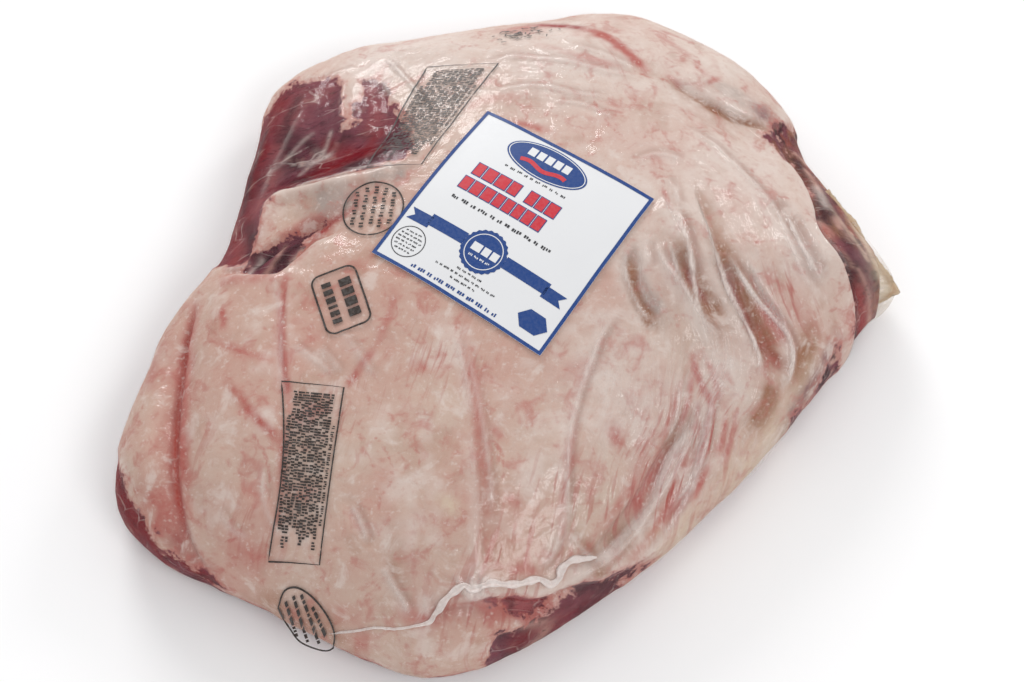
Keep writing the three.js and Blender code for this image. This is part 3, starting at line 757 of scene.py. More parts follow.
def paint_lean(points, xy):
    """How far inside the lean each point is, in millimetres, and the lean's colour there."""
    depth = np.full(len(points), -20.0)
    colour = np.tile(LEAN_PURPLE, (len(points), 1))
    for outline, tone in LEAN_AREAS:
        here = inside(xy, outline)
        colour = mix(colour, tone, step(-2.0, 1.0, here))
        depth = np.maximum(depth, here)
    left = step(-95.0, -125.0, xy[:, 0])
    right = step(30.0, 70.0, xy[:, 0]) * step(-20.0, -50.0, xy[:, 1])
    under = 14.0 + 6.0 * left - 9.0 * right - points[:, 2] + 9.0 * clouds(points, 30, 55)
    side = step(-3.0, 3.0, under)
    colour = mix(colour, LEAN_RED, side * step(-4.0, 0.0, -depth))
    colour = mix(colour, LEAN_PURPLE, 0.75 * side * patches(points, 24, 56, -0.3, 0.6))
    colour = mix(colour, PINK, 0.6 * side * patches(points * [1.0, 1.0, 2.4], 15, 57, 0.35, 0.8))
    depth = np.maximum(depth, under * 0.8)
    colour = mix(colour, LEAN_ROSE, 0.3 * patches(points, 16, 61, 0.2, 0.8))
    colour = mix(colour, LEAN_DARK, 0.6 * patches(points, 7, 62, 0.1, 0.7))
    corner = step(92.0, 106.0, xy[:, 0])
    for tone, strength, size, seed, low, high in CORNER_PATCHES:
        colour = mix(colour, tone, strength * corner * patches(points, size, seed, low, high))
    uneven = 0.8 + 0.4 * clouds(points, 6, 66)
    for path, width, tone, strength in LEAN_STROKES:
        distance, _ = along(xy, path, 3.2 * width)
        colour = mix(colour, tone, strength * bell(distance, width) * uneven)
    return np.maximum(depth, -20.0), colour


def vein_distance(xy):
    """Distance to the edge of the nearest thin vein, no more than their reach."""
    best = np.full(len(xy), VEIN_REACH)
    for path in VEINS:
        distance, share = along(xy, path, VEIN_REACH)
        tapered = 2.0 * np.maximum(0.0, 1.0 - np.minimum(share, 1.0 - share) / 0.12)
        best = np.minimum(best, np.abs(distance) - VEIN_HALF_WIDTH + tapered)
    return best


def crest_lines(xy):
    """How milky the film is along its crests and steps."""
    total = np.zeros(len(xy))
    rows = [(path, size / 1.6) for path, size, _ in CRESTS]
    rows += [(row[0], abs(row[1]) / 2.6) for row in STEPS if row[4] is OCHRE]
    for path, strength in rows:
        distance, share = along(xy, path, 5.0)
        total = np.maximum(total, strength * ends(share, 0.0, 0.25) * bell(distance, 0.9))
    return np.clip(total, 0.0, 1.0)


def corner_cut(points):
    """Draws the meat back from the film's free corner, which holds no meat."""
    towards = (points[:, :2] - CORNER_TIP) @ np.array([-0.98, -0.1])
    away = np.linalg.norm(points[:, :2] - CORNER_TIP, axis=1)
    moved = points.copy()
    moved[:, 0] -= 0.95 * np.clip(9.0 - towards, 0.0, 20.0) * step(22.0, 4.0, away)
    return moved


# ---------------------------------------------------------------- materials


def add(tree, kind, inputs=None, **settings):
    """Adds a node, with its settings, and its inputs as values or as sockets to link."""
    made = tree.nodes.new(kind)
    for key, value in settings.items():
        setattr(made, key, value)
    for key, value in (inputs or {}).items():
        if isinstance(value, bpy.types.NodeSocket):
            tree.links.new(value, made.inputs[key])
        else:
            made.inputs[key].default_value = value
    return made


def blank(name):
    """A material with no nodes yet but the object's coordinates."""
    material = bpy.data.materials.new(name)
    material.use_nodes = True
    tree = material.node_tree
    tree.nodes.clear()
    return material, tree, add(tree, "ShaderNodeTexCoord").outputs["Object"]


def show(material, shader):
    """Ends a material with this shader as its surface."""
    add(material.node_tree, "ShaderNodeOutputMaterial", {"Surface": shader.outputs[0]})
    return material


def texture(tree, place, scale, detail=3.0, roughness=0.55, distortion=0.0):
    return add(tree, "ShaderNodeTexNoise", {
        "Vector": place, "Scale": scale, "Detail": detail, "Roughness": roughness, "Distortion": distortion,
    }).outputs["Fac"]


def ramp(tree, value, low, high, start=0.0, end=1.0):
    """Maps low..high of a value to start..end, smoothly."""
    return add(tree, "ShaderNodeMapRange", {
        "Value": value, "From Min": low, "From Max": high, "To Min": start, "To Max": end,
    }, interpolation_type="SMOOTHSTEP").outputs["Result"]


def blend(tree, share, *colours):
    """Lays the second colour over the first by a share."""
    first, second = ((*c, 1.0) if isinstance(c, tuple) else c for c in colours)
    return add(tree, "ShaderNodeMix", {0: share, 6: first, 7: second}, data_type="RGBA").outputs[2]


def math_node(tree, kind, first, second):
    return add(tree, "ShaderNodeMath", {0: first, 1: second}, operation=kind).outputs[0]


def plus(tree, first, second):
    return math_node(tree, "ADD", first, second)


def times(tree, first, second):
    return math_node(tree, "MULTIPLY", first, second)


def stored(tree, name, output="Fac"):
    """What store kept on the vertices under this name."""
    return add(tree, "ShaderNodeAttribute", attribute_name=name).outputs[output]


def relief(tree, height, strength, distance):
    inputs = {"Height": height, "Strength": strength, "Distance": distance}
    return add(tree, "ShaderNodeBump", inputs).outputs[0]


def principled(tree, colour, roughness, normal, specular):
    return add(tree, "ShaderNodeBsdfPrincipled", {
        "Base Color": colour, "Roughness": roughness, "Normal": normal, "Specular IOR Level": specular,
    })


def over(tree, share, first, second):
    """Lays the second shader over the first by a share."""
    return add(tree, "ShaderNodeMixShader", {0: share, 1: first.outputs[0], 2: second.outputs[0]})


def drawn_noise(tree):
    """Noise drawn out into lines along the way the film is pulled."""
    return texture(tree, stored(tree, "grain", "Vector"), 1.0, 2.0, 0.6, 0.2)


def net(tree, place, scale, width, jitter):
    """A wandering net of thin lines, 1 on the lines."""
    wander = add(tree, "ShaderNodeTexNoise", {"Vector": place, "Scale": scale * 0.9, "Detail": 1.0})
    moved = wander.outputs["Color"]
    half = (0.5, 0.5, 0.5)
    for kind, second in (("SUBTRACT", {1: half}), ("SCALE", {"Scale": jitter}), ("ADD", {1: place})):
        moved = add(tree, "ShaderNodeVectorMath", {0: moved, **second}, operation=kind).outputs[0]
    cells = add(tree, "ShaderNodeTexVoronoi", {"Vector": moved, "Scale": scale}, feature="DISTANCE_TO_EDGE")
    return ramp(tree, cells.outputs["Distance"], width, 0.0)


def meat_material():
    material, tree, place = blank("lamb")
    cloudy = texture(tree, place, 90, 4.0, 0.65, 0.5)
    fine = texture(tree, place, 420, 3.0, 0.7)
    stretched = add(tree, "ShaderNodeMapping", {"Vector": place, "Scale": (1.0, 3.4, 1.6)}).outputs["Vector"]
    fibres = texture(tree, stretched, 240, 4.0, 0.7, 0.8)

    fat = stored(tree, "fat_tint", "Color")
    for pattern, low, high, share, tone in (
        (cloudy, 0.52, 0.70, 0.36, ROSE), (cloudy, 0.46, 0.30, 0.6, PALE),
        (fine, 0.54, 0.72, 0.4, PINK), (fine, 0.44, 0.28, 0.5, PALE),
    ):
        fat = blend(tree, ramp(tree, pattern, low, high, 0.0, share), fat, tone)
    web = times(tree, net(tree, place, 150, 0.17, 0.006), ramp(tree, cloudy, 0.48, 0.62, 0.0, 0.3))
    fat = blend(tree, web, fat, ROSE)
    streaks = ramp(tree, drawn_noise(tree), 0.53, 0.64, 0.0, 0.95)
    fat = blend(tree, times(tree, streaks, stored(tree, "flushed")), fat, FLUSH)
    vein = ramp(tree, plus(tree, stored(tree, "vein"), ramp(tree, fine, 0.3, 0.7, -0.6, 0.6)), 0.5, -0.3)
    fat = blend(tree, times(tree, vein, ramp(tree, cloudy, 0.35, 0.6, 0.05, 0.55)), fat, ROSE)

    lean = stored(tree, "lean_tint", "Color")
    for pattern, low, high, share, tone in (
        (fibres, 0.54, 0.75, 0.45, LEAN_ROSE), (fibres, 0.48, 0.28, 0.75, LEAN_DARK),
        (cloudy, 0.58, 0.70, 0.2, PINK),
    ):
        lean = blend(tree, ramp(tree, pattern, low, high, 0.0, share), lean, tone)
    membrane = times(tree, net(tree, stretched, 30, 0.022, 0.03), ramp(tree, cloudy, 0.45, 0.62, 0.0, 0.38))
    lean = blend(tree, membrane, lean, PALE)

    edge = plus(tree, stored(tree, "lean"), ramp(tree, cloudy, 0.3, 0.7, -2.2, 2.2))
    edge = plus(tree, edge, ramp(tree, fine, 0.3, 0.7, -0.7, 0.7))
    fat = blend(tree, ramp(tree, edge, -3.0, 0.0, 0.0, 0.55), fat, ROSE)
    colour = blend(tree, ramp(tree, edge, -0.5, 0.7), fat, lean)
    roughness = ramp(tree, fine, 0.3, 0.7, 0.38, 0.55)
    return show(material, principled(tree, colour, roughness, relief(tree, fine, 0.35, 0.0006), 0.03))


def film_material():
    material, tree, place = blank("film")
    broad = texture(tree, place, 150, 3.0, 0.65, 0.6)
    ridge = math_node(tree, "ABSOLUTE", math_node(tree, "SUBTRACT", drawn_noise(tree), 0.5), 0.0)
    lines = times(tree, math_node(tree, "POWER", ramp(tree, ridge, 0.16, 0.0), 3.0), stored(tree, "drawn"))
    crest = plus(tree, stored(tree, "crest"), times(tree, stored(tree, "wrinkle"), 0.22))
    height = plus(tree, plus(tree, broad, times(tree, lines, 0.45)), times(tree, crest, 0.5))
    normal = relief(tree, height, 0.6, 0.0008)

    milk = times(tree, stored(tree, "milky"), ramp(tree, broad, 0.3, 0.65, 0.4, 1.4))
    milk = plus(tree, milk, times(tree, crest, ramp(tree, broad, 0.3, 0.7, 0.5, 0.75)))
    milk = math_node(tree, "MINIMUM", plus(tree, milk, times(tree, lines, 0.14)), 0.8)
    clear = add(tree, "ShaderNodeBsdfTransparent", {"Color": (0.99, 0.985, 0.98, 1.0)})
    haze = add(tree, "ShaderNodeBsdfDiffuse", {"Color": stored(tree, "film_tint", "Color"), "Normal": normal})
    body = over(tree, milk, clear, haze)
    gloss = add(tree, "ShaderNodeBsdfGlossy", {
        "Color": (0.9, 0.9, 0.9, 1.0), "Normal": normal, "Roughness": 0.12,
    })
    edge = add(tree, "ShaderNodeFresnel", {"IOR": 1.45, "Normal": normal}).outputs[0]
    return show(material, over(tree, math_node(tree, "MINIMUM", edge, 0.03), body, gloss))


def plain_material(name, colour, roughness, speckle, wear=None):
    """Paint or ink: a slightly uneven colour. Wear is where its patches start, and how much is gone there."""
    material, tree, place = blank(name)
    fine = texture(tree, place, 900, 4.0, 0.6)
    wide = texture(tree, place, 60, 3.0, 0.6)
    paler = tuple(0.6 * c + 0.25 for c in colour)
    darker = tuple(0.8 * c for c in colour)
    tint = blend(tree, ramp(tree, fine, 0.35, 0.7, 0.0, speckle), colour, paler)
    tint = blend(tree, ramp(tree, wide, 0.4, 0.7, 0.0, speckle), tint, darker)
    uneven = ramp(tree, fine, 0.3, 0.7, roughness - 0.06, roughness + 0.08)
    shader = principled(tree, tint, uneven, relief(tree, wide, 0.15, 0.0004), 0.35)
    if wear:
        low, most = wear
        share = ramp(tree, texture(tree, place, 260, 5.0, 0.7, 0.5), low, low + 0.12, 0.0, most)
        shader = over(tree, share, shader, add(tree, "ShaderNodeBsdfTransparent"))
    return show(material, shader)


def seal_material():
    material, tree, place = blank("seal")
    fine = texture(tree, place, 800, 4.0, 0.6, 0.5)
    tint = blend(tree, ramp(tree, fine, 0.4, 0.7, 0.0, 0.6), (0.70, 0.62, 0.585), (0.60, 0.46, 0.42))
    return show(material, principled(tree, tint, 0.3, relief(tree, fine, 0.4, 0.0005), 0.5))


def floor_material():
    material, tree, place = blank("backdrop")
    tint = blend(tree, ramp(tree, texture(tree, place, 3.0, 2.0), 0.3, 0.7), (0.94,) * 3, (0.97,) * 3)
    return show(material, add(tree, "ShaderNodeBsdfPrincipled", {
        "Base Color": tint, "Roughness": 0.9, "Specular IOR Level": 0.1,
    }))


# ---------------------------------------------------------------- pieces


def piece(name, mesh, material, slot):
    """Links a mesh as a smooth-shaded piece that rides on the body; its slot is not used."""
    mesh.polygons.foreach_set("use_smooth", [True] * len(mesh.polygons))
    mesh.materials.clear()
    mesh.materials.append(material)
    made = bpy.data.objects.new(name, mesh)
    bpy.context.scene.collection.objects.link(made)
    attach(made, "root")
    return made


def tree_of(mesh):
    """A search tree of a mesh, in millimetres."""
    points, _ = read_mesh(mesh)
    return BVHTree.FromPolygons(points.tolist(), [tuple(p.vertices) for p in mesh.polygons])


def drop_onto(tree, xy):
    """Heights and normals of the surface under points in plan."""
    high = np.full(len(xy), 20.0)
    normals = np.tile([0.0, 0.0, 1.0], (len(xy), 1))
    for i, (x, y) in enumerate(xy):
        hit, normal, _, _ = tree.ray_cast(Vector((x, y, 200.0)), Vector((0, 0, -1)))
        if hit:
            high[i] = hit.z
            normals[i] = normal
    return high, normals


def make_meat_and_film(base):
    """The meat's mesh and the film's, both moved from the base along its normals."""
    points, normals = read_mesh(base)
    xy = points[:, :2]
    bare = off_label(xy)
    top = step(6.0, 22.0, points[:, 2])
    seen = top * bare

    lumps = 0.9 * clouds(points, 34, 1) + 0.35 * clouds(points, 12, 2) + 0.12 * clouds(points, 5, 4)
    lumps *= step(0.3, 5.0, points[:, 2]) * (0.25 + 0.75 * bare)
    cut = -folds(xy, MEAT_FOLDS) * seen
    rise = (0.6 * folds(xy, CRESTS) + steps(xy)) * seen
    wrinkles = tension_wrinkles(points) * seen
    lean, lean_tint = paint_lean(points, xy)
    sunk = -0.9 * step(-1.0, 1.5, lean) * top
    meat_move = lumps + cut + 0.8 * rise + sunk
    meat_mesh = moved_copy(base, "leg", corner_cut(points + normals * meat_move[:, None]))
    drawn, tightness = drawn_place(xy)
    drawn[:, 0] += 2.0 * noise(points, 22, 95)
    grain = drawn / [2.6, 24.0, 1.0]
    flushed = np.clip(sum(strength * spot(xy, centre, half) for centre, half, strength in FLUSHED), 0.0, 1.0)
    store(meat_mesh, lean=lean, lean_tint=lean_tint, fat_tint=paint_fat(points, xy), vein=vein_distance(xy),
          flushed=flushed, grain=grain)

    bridged = lumps + 0.45 * np.maximum(cut, -0.6) + rise + 0.4 * sunk + wrinkles
    film_move = (np.maximum(bridged, meat_move) + FILM_GAP) * step(-0.5, 1.5, points[:, 2])
    film_mesh = moved_copy(base, "film", points + normals * film_move[:, None])
    milky = sum(strength * spot(xy, centre, half) for centre, half, strength in MILKY)
    milky = np.clip(milky * (0.75 + 0.6 * clouds(points, 8, 91)) * seen, 0.0, 0.8)
    tip = step(24.0, 6.0, np.linalg.norm(xy - CORNER_TIP, axis=1))
    on_fat = 1.0 - 0.85 * step(-1.0, 1.0, lean)
    tint = mix(np.tile(FILM_TINT, (len(points), 1)), FILM_YELLOW, 0.8 * tip)
    store(film_mesh, milky=milky * on_fat + 0.2 * tip, crest=crest_lines(xy) * seen * (0.35 + 0.65 * on_fat),
          wrinkle=wrinkles * on_fat, drawn=tightness * seen, grain=grain, film_tint=tint)
    return meat_mesh, film_mesh


def ellipse(x, y, rx, ry, sides=63, scallop=0.0, waves=0):
    """The corners of an ellipse, with its edge in waves if it has a scallop."""
    angles = [2 * math.pi * i / sides for i in range(sides)]
    waved = [scallop * math.cos(waves * a) for a in angles]
    return [(x + (rx + w) * math.cos(a), y + (ry + w) * math.sin(a)) for a, w in zip(angles, waved)]


def flat_shape(bm, points):
    """Adds a flat face of these corners to a drawing."""
    bm.faces.new([bm.verts.new((x, y, 0)) for x, y in points])


def block(bm, x0, y0, x1, y1):
    flat_shape(bm, [(x0, y0), (x1, y0), (x1, y1), (x0, y1)])


def line(bm, points, width, closed=False):
    """Adds a line of even width along some points."""
    p = np.array(points, dtype=float)
    count = len(p)
    after = np.roll(p, -1, axis=0) if closed else np.vstack([p[1:], 2 * p[-1] - p[-2]])
    before = np.roll(p, 1, axis=0) if closed else np.vstack([2 * p[0] - p[1], p[:-1]])
    way = after - before
    way /= np.maximum(np.linalg.norm(way, axis=1), 1e-9)[:, None]
    out = np.column_stack([-way[:, 1], way[:, 0]]) * width / 2
    left = [bm.verts.new((*q, 0)) for q in p + out]
    right = [bm.verts.new((*q, 0)) for q in p - out]
    for i in range(count if closed else count - 1):
        j = (i + 1) % count
        bm.faces.new([right[i], right[j], left[j], left[i]])


def words(bm, rng, x0, x1, y, height, longest, gap):
    """A row of small upright marks in groups, like type too worn to read."""
    x = x0
    pitch = 0.62 * height
    while x < x1 - 2 * pitch:
        for _ in range(rng.randint(2, max(3, int(longest / pitch)))):
            if x > x1 - pitch:
                break
            tall = rng.uniform(0.65, 1.0) * height
            wide = rng.uniform(0.6, 0.95) * pitch
            low = y - height / 2 + rng.choice((0.0, height - tall))
            block(bm, x, low, x + wide, low + tall)
            x += pitch * 1.12
        x += gap + 0.35 * pitch


def cut_grid(bm, cell):
    """Cuts a flat drawing along a grid, so that it can bend."""
    xs = [v.co.x for v in bm.verts]
    ys = [v.co.y for v in bm.verts]
    for axis, low, high in ((0, min(xs), max(xs)), (1, min(ys), max(ys))):
        direction = Vector((1 - axis, axis, 0))
        for k in range(1, int((high - low) / cell) + 1):
            bmesh.ops.bisect_plane(bm, geom=bm.verts[:] + bm.edges[:] + bm.faces[:],
                                   plane_co=direction * (low + k * cell), plane_no=direction)


def lay(bm, name, tree, place, lift, material, slot, cell=INK_CELL):
    """Bends a flat drawing onto a surface: place turns its points into plan coordinates."""
    cut_grid(bm, cell)
    bmesh.ops.triangulate(bm, faces=[f for f in bm.faces if len(f.verts) > 4])
    xy = place(np.array([v.co[:2] for v in bm.verts]))
    high, normals = drop_onto(tree, xy)
    for vertex, point in zip(bm.verts, np.column_stack([xy, high]) + normals * lift):
        vertex.co = point * MM
    bmesh.ops.recalc_face_normals(bm, faces=bm.faces)
    mesh = bpy.data.meshes.new(name)
    bm.to_mesh(mesh)
    bm.free()
    return piece(name, mesh, material, slot)


def at(centre, degrees):
    """A place for a drawing: its middle in plan, and its turn."""
    return lambda flat: turned(flat, degrees) + centre


def stretched_to(corners):
    """A place for a panel's drawing that takes these corners: start, along it, opposite, across it."""
    a, b, c, d = (np.array(p, dtype=float) for p in corners)

    def place(flat):
        u = flat[:, :1] / PANEL_LENGTH
        v = flat[:, 1:] / PANEL_WIDTH
        return a * (1 - u) * (1 - v) + b * u * (1 - v) + c * u * v + d * (1 - u) * v

    return place


def draw_panel(seed, pinch=0.0, rows=11):
    """A text panel: a thin frame with rows of small type run along it."""
    rng = random.Random(seed)
    bm = bmesh.new()
    side = [(PANEL_LENGTH * t, pinch * math.sin(math.pi * t)) for t in np.linspace(0, 1, 25)]
    line(bm, side + [(PANEL_LENGTH, PANEL_WIDTH), (0, PANEL_WIDTH)], 0.55, closed=True)
    for row in range(rows):
        y = 2.2 + pinch * 0.5 + row * (14.6 - pinch * 0.5) / (rows - 1)
        words(bm, rng, 3.0 if row else 12.0, rng.uniform(50, 58), y, 1.4, 5.6, 0.35)
    words(bm, rng, 14, 50, 18.5, 1.1, 4.5, 0.4)
    return bm


def draw_round_stamp(radius=11.5):
    """A ring with five rows of type."""
    rng = random.Random(6)
    bm = bmesh.new()
    line(bm, ellipse(0, 0, radius, radius), 0.6, closed=True)
    for y in np.linspace(-0.62, 0.62, 5) * radius:
        half = math.sqrt(radius**2 - y**2) - 1.8
        words(bm, rng, -half, half, y, 1.7, 3.4, 0.5)
    return bm


def draw_pear_stamp():
    """A round stamp drawn out of shape by the film's shrinking, with four rows of bars."""
    rng = random.Random(12)
    bm = bmesh.new()
    line(bm, spline([*PEAR, PEAR[0]], 1.0)[:-1], 0.6, closed=True)
    for start, end in PEAR_ROWS:
        a, b = np.array(start, float), np.array(end, float)
        length = np.linalg.norm(b - a)
        way = (b - a) / length
        across = np.array([-way[1], way[0]]) * 0.55
        t = 0.0
        while t < length - 0.8:
            size = rng.uniform(0.8, 2.2)
            p, q = a + way * t, a + way * (t + size)
            flat_shape(bm, [p - across, q - across, q + across, p + across])
            t += size + 0.5
    return bm


def bars(bm, x, y, height, widths, gap, grow=0.0):
    """A row of blocks from x on, where a negative width is a space."""
    for width in widths:
        if width > 0:
            block(bm, x - grow, y - height / 2 - grow, x + width + grow, y + height / 2 + grow)
        x += abs(width) + gap


def draw_badge(half_length=12.5, half_width=8.6, corner=3.4):
    """A plain rounded badge with two rows of heavy bars."""
    bm = bmesh.new()
    ring = []
    for start, sx, sy in ((0, 1, 1), (90, -1, 1), (180, -1, -1), (270, 1, -1)):
        for a in (math.radians(start + turn) for turn in range(0, 91, 15)):
            ring.append((sx * (half_length - corner) + corner * math.cos(a),
                         sy * (half_width - corner) + corner * math.sin(a)))
    line(bm, ring, 0.75, closed=True)
    for y, height, widths in ((3.4, 4.6, (3.2, 3.0, 3.6, 3.2)), (-3.6, 3.6, (2.0, 2.2, 2.4, 1.2, 2.2, 2.0))):
        bars(bm, -(sum(widths) + 1.1 * (len(widths) - 1)) / 2, y, height, widths, 1.1)
    return bm


def draw_smudge():
    """A print too creased to read, as short curls of ink."""
    rng = random.Random(5)
    bm = bmesh.new()
    for _ in range(46):
        x, y = rng.gauss(0, 6.5), rng.gauss(0, 2.2)
        turn, bend = rng.uniform(0, math.pi), rng.uniform(-1.2, 1.2)
        size = rng.uniform(1.2, 3.0)
        line(bm, [(x + size * t * math.cos(turn + bend * t), y + 0.6 * size * t * math.sin(turn + bend * t))
                  for t in np.linspace(-0.5, 0.5, 6)], 0.45)
    return bm


def sheet_faces(rows, count, upwards):
    """Faces of a thin closed sheet, whose points are a grid of rows for its top, then one for its bottom."""
    below = rows * count
    faces = []
    for a in (r * count + i for r in range(rows - 1) for i in range(count - 1)):
        faces.append((a, a + 1, a + count + 1, a + count))
        faces.append(tuple(below + k for k in (a, a + count, a + count + 1, a + 1)))
    rim = [*range(count), *(r * count + count - 1 for r in range(1, rows))]
    rim += [*range(below - 2, below - count - 1, -1), *(r * count for r in range(rows - 2, 0, -1))]
    faces += [(a, a + below, b + below, b) for a, b in zip(rim, rim[1:] + rim[:1])]
    return faces if upwards else [face[::-1] for face in faces]


def smoothed(grid, rounds):
    for _ in range(rounds):
        wide = np.pad(grid, 1, mode="edge")
        grid = (wide[:-2, 1:-1] + wide[2:, 1:-1] + wide[1:-1, :-2] + wide[1:-1, 2:] + 4 * grid) / 8
    return grid


def make_label(tree):
    """The label's sheet, bent to the pack, as a thin closed solid with a softly waved edge."""
    count = int(LABEL_SIDE / LABEL_STEP) + 1
    side = np.linspace(-LABEL_HALF, LABEL_HALF, count)
    grid = np.array([(x, y) for y in side for x in side])
    xy = label_place(grid)
    high = smoothed(drop_onto(tree, xy)[0].reshape(count, count), 6).ravel()
    edge = np.max(np.abs(grid), axis=1) / LABEL_HALF
    high += LABEL_LIFT + 0.25 * step(0.8, 1.0, edge) * noise(np.column_stack([grid, edge]), 14, 3)
    top = np.column_stack([xy, high])
    points = np.vstack([top, top - [0, 0, LABEL_THICKNESS]])
    return solid("label_sheet", points, sheet_faces(count, count, True))


def draw_label_blue():
    """The border, the oval, the ribbon with its disc, a hexagon, a row of type and the title's edges."""
    bm = bmesh.new()
    h, w = LABEL_HALF, LABEL_HALF - LABEL_BORDER
    for box in ((-h, -h, h, -w), (-h, w, h, h), (-h, -w, -w, w), (w, -w, h, w)):
        block(bm, *box)
    flat_shape(bm, ellipse(-3.8, 28.2, 17.5, 7.6, 48))
    for x0, x1 in ((-27, -11), (6.6, 26)):
        block(bm, x0, -17.9, x1, -12.9)
    for near, tip, notch in ((-26, -35.5, -33.1), (25, 34, 31.6)):
        flat_shape(bm, [(near, -19.2), (near, -14.2), (tip, -14.2), (notch, -16.7), (tip, -19.2)])
    flat_shape(bm, ellipse(-2.2, -16.2, 9.0, 9.0, 96, 0.25, 24))
    flat_shape(bm, ellipse(28.5, -29.0, 6.5, 4.6, 6))
    words(bm, random.Random(2), -22, 17, -34.6, 1.5, 4.5, 0.7)
    for x, y, widths in TITLE:
        bars(bm, x, y, TITLE_HEIGHT, widths, TITLE_GAP, grow=TITLE_EDGE)
    return bm


def draw_label_red():
    """The title's blocks and the wave in the oval."""
    bm = bmesh.new()
    for x, y, widths in TITLE:
        bars(bm, x, y, TITLE_HEIGHT, widths, TITLE_GAP)
    line(bm, [(-14 + 20 * t, 25.2 + 0.8 * math.sin(9 * t)) for t in np.linspace(0, 1, 24)], 1.8)
    return bm


def draw_label_white():
    """Rings, blocks and type in the oval and in the disc."""
    bm = bmesh.new()
    line(bm, ellipse(-3.8, 28.2, 16.6, 6.9), 0.35, closed=True)
    bars(bm, -13.0, 30.2, 3.6, (3.2, 3.0, 3.0, 3.0, 3.0), 0.8)
    line(bm, ellipse(-2.2, -16.2, 7.3, 7.3), 0.35, closed=True)
    bars(bm, -7.4, -15.9, 3.4, (4.0, 3.0, 3.0), 0.7)
    words(bm, random.Random(9), -6.6, 2.8, -19.6, 0.9, 1.6, 0.4)
    return bm


def draw_label_dark():
    """Rows of type, and the round mark at the lower left."""
    bm = bmesh.new()
    rng = random.Random(4)
    words(bm, rng, -17, 12, 19.4, 1.0, 1.6, 0.9)
    words(bm, rng, -26, 19, -2.6, 1.5, 4.2, 0.9)
    x, y = -28.6, -27.4
    line(bm, ellipse(x, y, 6.4, 6.4, 47), 0.35, closed=True)
    for rise in (4.0 - 1.6 * k for k in range(6)):
        half = math.sqrt(max(0.5, 5.6**2 - rise**2)) - 0.4
        words(bm, rng, x - half, x + half, y + rise, 0.7, 2.0, 0.35)
    for y, half in ((-26.6, 5.5), (-28.8, 13.5), (-31.0, 5.5)):
        words(bm, rng, -1.5 - half, -1.5 + half, y, 0.85, 2.4, 0.5)
    return bm


def make_seal(tree):
    """The crimped end of the bag: a narrow pleated bead that follows the pack."""
    path = spline(SEAL, 0.5)
    high, normals = drop_onto(tree, path)
    way = np.gradient(path, axis=0)
    way /= np.linalg.norm(way, axis=1)[:, None]
    side = np.column_stack([-way[:, 1], way[:, 0], np.zeros(len(way))])
    share = np.linspace(0, 1, len(path))
    run = np.cumsum(np.linalg.norm(np.diff(path, axis=0, prepend=path[:1]), axis=1))
    narrowed = 0.25 + 0.75 * step(0.0, 0.05, share) * step(0.0, 0.04, 1 - share)
    wide = step(0.28, 0.45, share)
    width = (0.5 + 0.85 * wide + 0.3 * np.sin(run * 0.9) * wide) * narrowed
    rise = (0.55 + 0.35 * wide + 0.15 * np.sin(run * 2.1 + 1.0)) * narrowed
    sides = len(SEAL_SECTION)
    points = []
    for i, place in enumerate(np.column_stack([path, high])):
        points += [place + side[i] * width[i] * u + normals[i] * (0.1 + rise[i] * v) for u, v in SEAL_SECTION]
    faces = [(a + k, a + (k + 1) % sides, a + sides + (k + 1) % sides, a + sides + k)
             for a in range(0, len(points) - sides, sides) for k in range(sides)]
    faces += [tuple(range(sides - 1, -1, -1)), tuple(range(len(points) - sides, len(points)))]
    mesh = solid("film_seal", points, faces)
    bm = bmesh.new()
    bm.from_mesh(mesh)
    bmesh.ops.recalc_face_normals(bm, faces=bm.faces)
    bm.to_mesh(mesh)
    bm.free()
    return mesh


def make_corner(rows=9):
    """The film's free corner: a flat ear of two layers, drawn to a point."""
    outer = spline(CORNER_OUTER, 0.8)
    outer = outer + 0.1 * np.sin(np.arange(len(outer)) * 1.7)[:, None]
    inner = spline(CORNER_INNER, 0.8)
    inner = inner[np.linspace(0, len(inner) - 1, len(outer)).round().astype(int)]
    count = len(outer)
    lengthwise = np.linspace(0.0, 1.0, count)
    share = np.linspace(0.0, 1.0, rows)
    layer = []
    for t in share:
        xy = inner * (1 - t) + outer * t
        waves = 1.2 * t * np.sin(lengthwise * 17 + 3 * t) + 0.5 * np.sin(xy[:, 0] * 0.9) * t
        layer.append(np.column_stack([xy, 35 - 17 * lengthwise + waves]))
    half_up = np.array([0, 0, CORNER_THICKNESS / 2])
    points = np.vstack([np.vstack(layer) + half_up, np.vstack(layer) - half_up])
    mesh = solid("film_corner", points, sheet_faces(rows, count, False))
    edge = np.tile(np.repeat(share, count), 2)
    tint = mix(np.tile(CORNER_TINT, (len(points), 1)), CORNER_RIM, 0.8 * bell(edge - 0.9, 0.12))
    store(mesh, milky=0.25 + 0.3 * edge**3, crest=0.8 * edge**6, drawn=np.full(len(points), 0.4),
          wrinkle=np.zeros(len(points)), grain=points / 3.0, film_tint=tint)
    return mesh


def make_stage():
    bpy.ops.mesh.primitive_plane_add(size=2 * FLOOR_HALF)
    floor = bpy.context.active_object
    floor.name = "floor"
    floor.data.materials.append(floor_material())


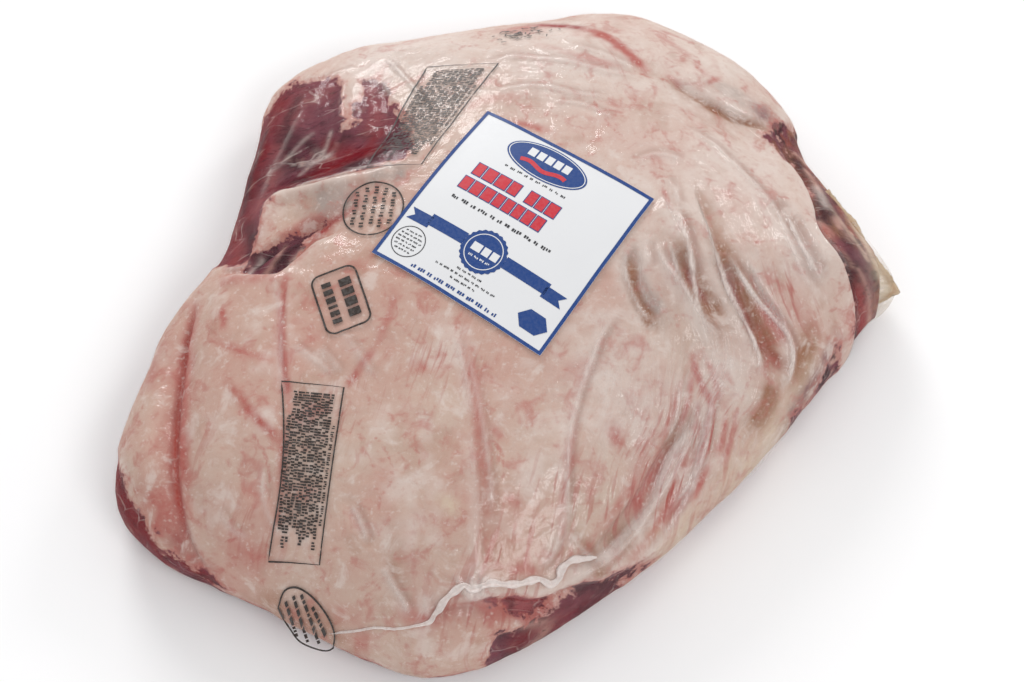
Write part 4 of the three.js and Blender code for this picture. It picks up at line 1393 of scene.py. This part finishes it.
def make_light():
    """A white surround and round soft lights that are aimed at the object."""
    world = bpy.data.worlds.new("studio")
    bpy.context.scene.world = world
    world.use_nodes = True
    background = world.node_tree.nodes["Background"]
    background.inputs["Color"].default_value = (0.99, 0.99, 1.0, 1.0)
    background.inputs["Strength"].default_value = 0.70
    for name, place, size, power in LIGHTS:
        data = bpy.data.lights.new(name, "AREA")
        data.shape = "DISK"
        data.size = size
        data.energy = power
        lamp = bpy.data.objects.new(name, data)
        lamp.location = place
        lamp.rotation_euler = (-Vector(place)).to_track_quat("-Z", "Y").to_euler()
        bpy.context.scene.collection.objects.link(lamp)


def make_camera():
    """The camera looks down from the side of the seal."""
    low, high = (Vector(corner) for corner in cad_box)
    aim = (low + high) / 2 + Vector(CAMERA_AIM) * MM
    rise = math.radians(CAMERA_RISE)
    data = bpy.data.cameras.new("camera")
    data.lens = CAMERA_LENS
    data.sensor_width = CAMERA_SENSOR
    camera = bpy.data.objects.new("camera", data)
    camera.location = aim + Vector((0, -math.cos(rise), math.sin(rise))) * CAMERA_DISTANCE * MM
    camera.rotation_euler = (math.pi / 2 - rise, 0, 0)
    bpy.context.scene.collection.objects.link(camera)
    bpy.context.scene.camera = camera


def make_film_prints(on_film):
    """The six prints on the film, in dark or in faint ink."""
    dark_ink = plain_material("ink", (0.026, 0.016, 0.012), 0.45, 0.2, (0.58, 0.75))
    faint_ink = plain_material("faint_ink", (0.045, 0.040, 0.036), 0.45, 0.3, (0.54, 0.9))
    low_corners = [(-85, -42), (-89, -104), (-70, -107), (-62, -45)]
    high_corners = [(-34, 98), (-56, 47), (-35, 46), (-6, 97)]
    for name, drawing, place, ink in (
        ("panel_low", draw_panel(3, pinch=3.0), stretched_to(low_corners), dark_ink),
        ("panel_high", draw_panel(8), stretched_to(high_corners), faint_ink),
        ("round_stamp", draw_round_stamp(), at((-53, 28), -98), dark_ink),
        ("pear_stamp", draw_pear_stamp(), at((0, 0), 0), dark_ink),
        ("badge", draw_badge(), at((-64, -10), -72), dark_ink),
        ("smudge", draw_smudge(), at((2, 117), 8), faint_ink),
    ):
        lay(drawing, "print_" + name, on_film, place, PRINT_GAP, ink, "film_ink")


def make_label_fields(sheet):
    """The label's fields of colour, kept just inside the sheet's edge."""
    inset = LABEL_HALF - 0.02
    on_sheet = tree_of(sheet.data)
    for name, drawing, lift, colour, roughness, speckle, slot in (
        ("blue", draw_label_blue(), 0.10, (0.010, 0.05, 0.21), 0.4, 0.08, "label_blue"),
        ("red", draw_label_red(), 0.16, (0.55, 0.03, 0.045), 0.4, 0.12, "label_red"),
        ("white", draw_label_white(), 0.16, PAPER, 0.4, 0.05, "label_face"),
        ("dark", draw_label_dark(), 0.10, (0.02, 0.02, 0.025), 0.45, 0.15, "film_ink"),
    ):
        material = plain_material("label_" + name, colour, roughness, speckle)
        lay(drawing, f"label_{name}_fields", on_sheet, lambda flat: label_place(np.clip(flat, -inset, inset)),
            lift, material, slot, LABEL_STEP)


def main():
    make_camera()
    make_stage()
    make_light()
    base = fine_copy("wrapped_leg")
    drop_underside(base)
    meat_mesh, film_mesh = make_meat_and_film(base)
    leg = piece("leg", meat_mesh, meat_material(), "lamb_fat")
    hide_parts("wrapped_leg")
    clear_film = film_material()
    piece("film", film_mesh, clear_film, "film")
    piece("film_corner", make_corner(), clear_film, "film")
    on_film = tree_of(film_mesh)
    make_film_prints(on_film)
    paper = plain_material("label_stock", PAPER, 0.4, 0.05)
    sheet = piece("label_sheet", make_label(tree_of(base)), paper, "label_face")
    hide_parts("label")
    make_label_fields(sheet)
    piece("film_seal", make_seal(on_film), seal_material(), "film_seal")
    bpy.data.meshes.remove(base)


main()
bpy.context.scene.view_settings.view_transform = "Standard"
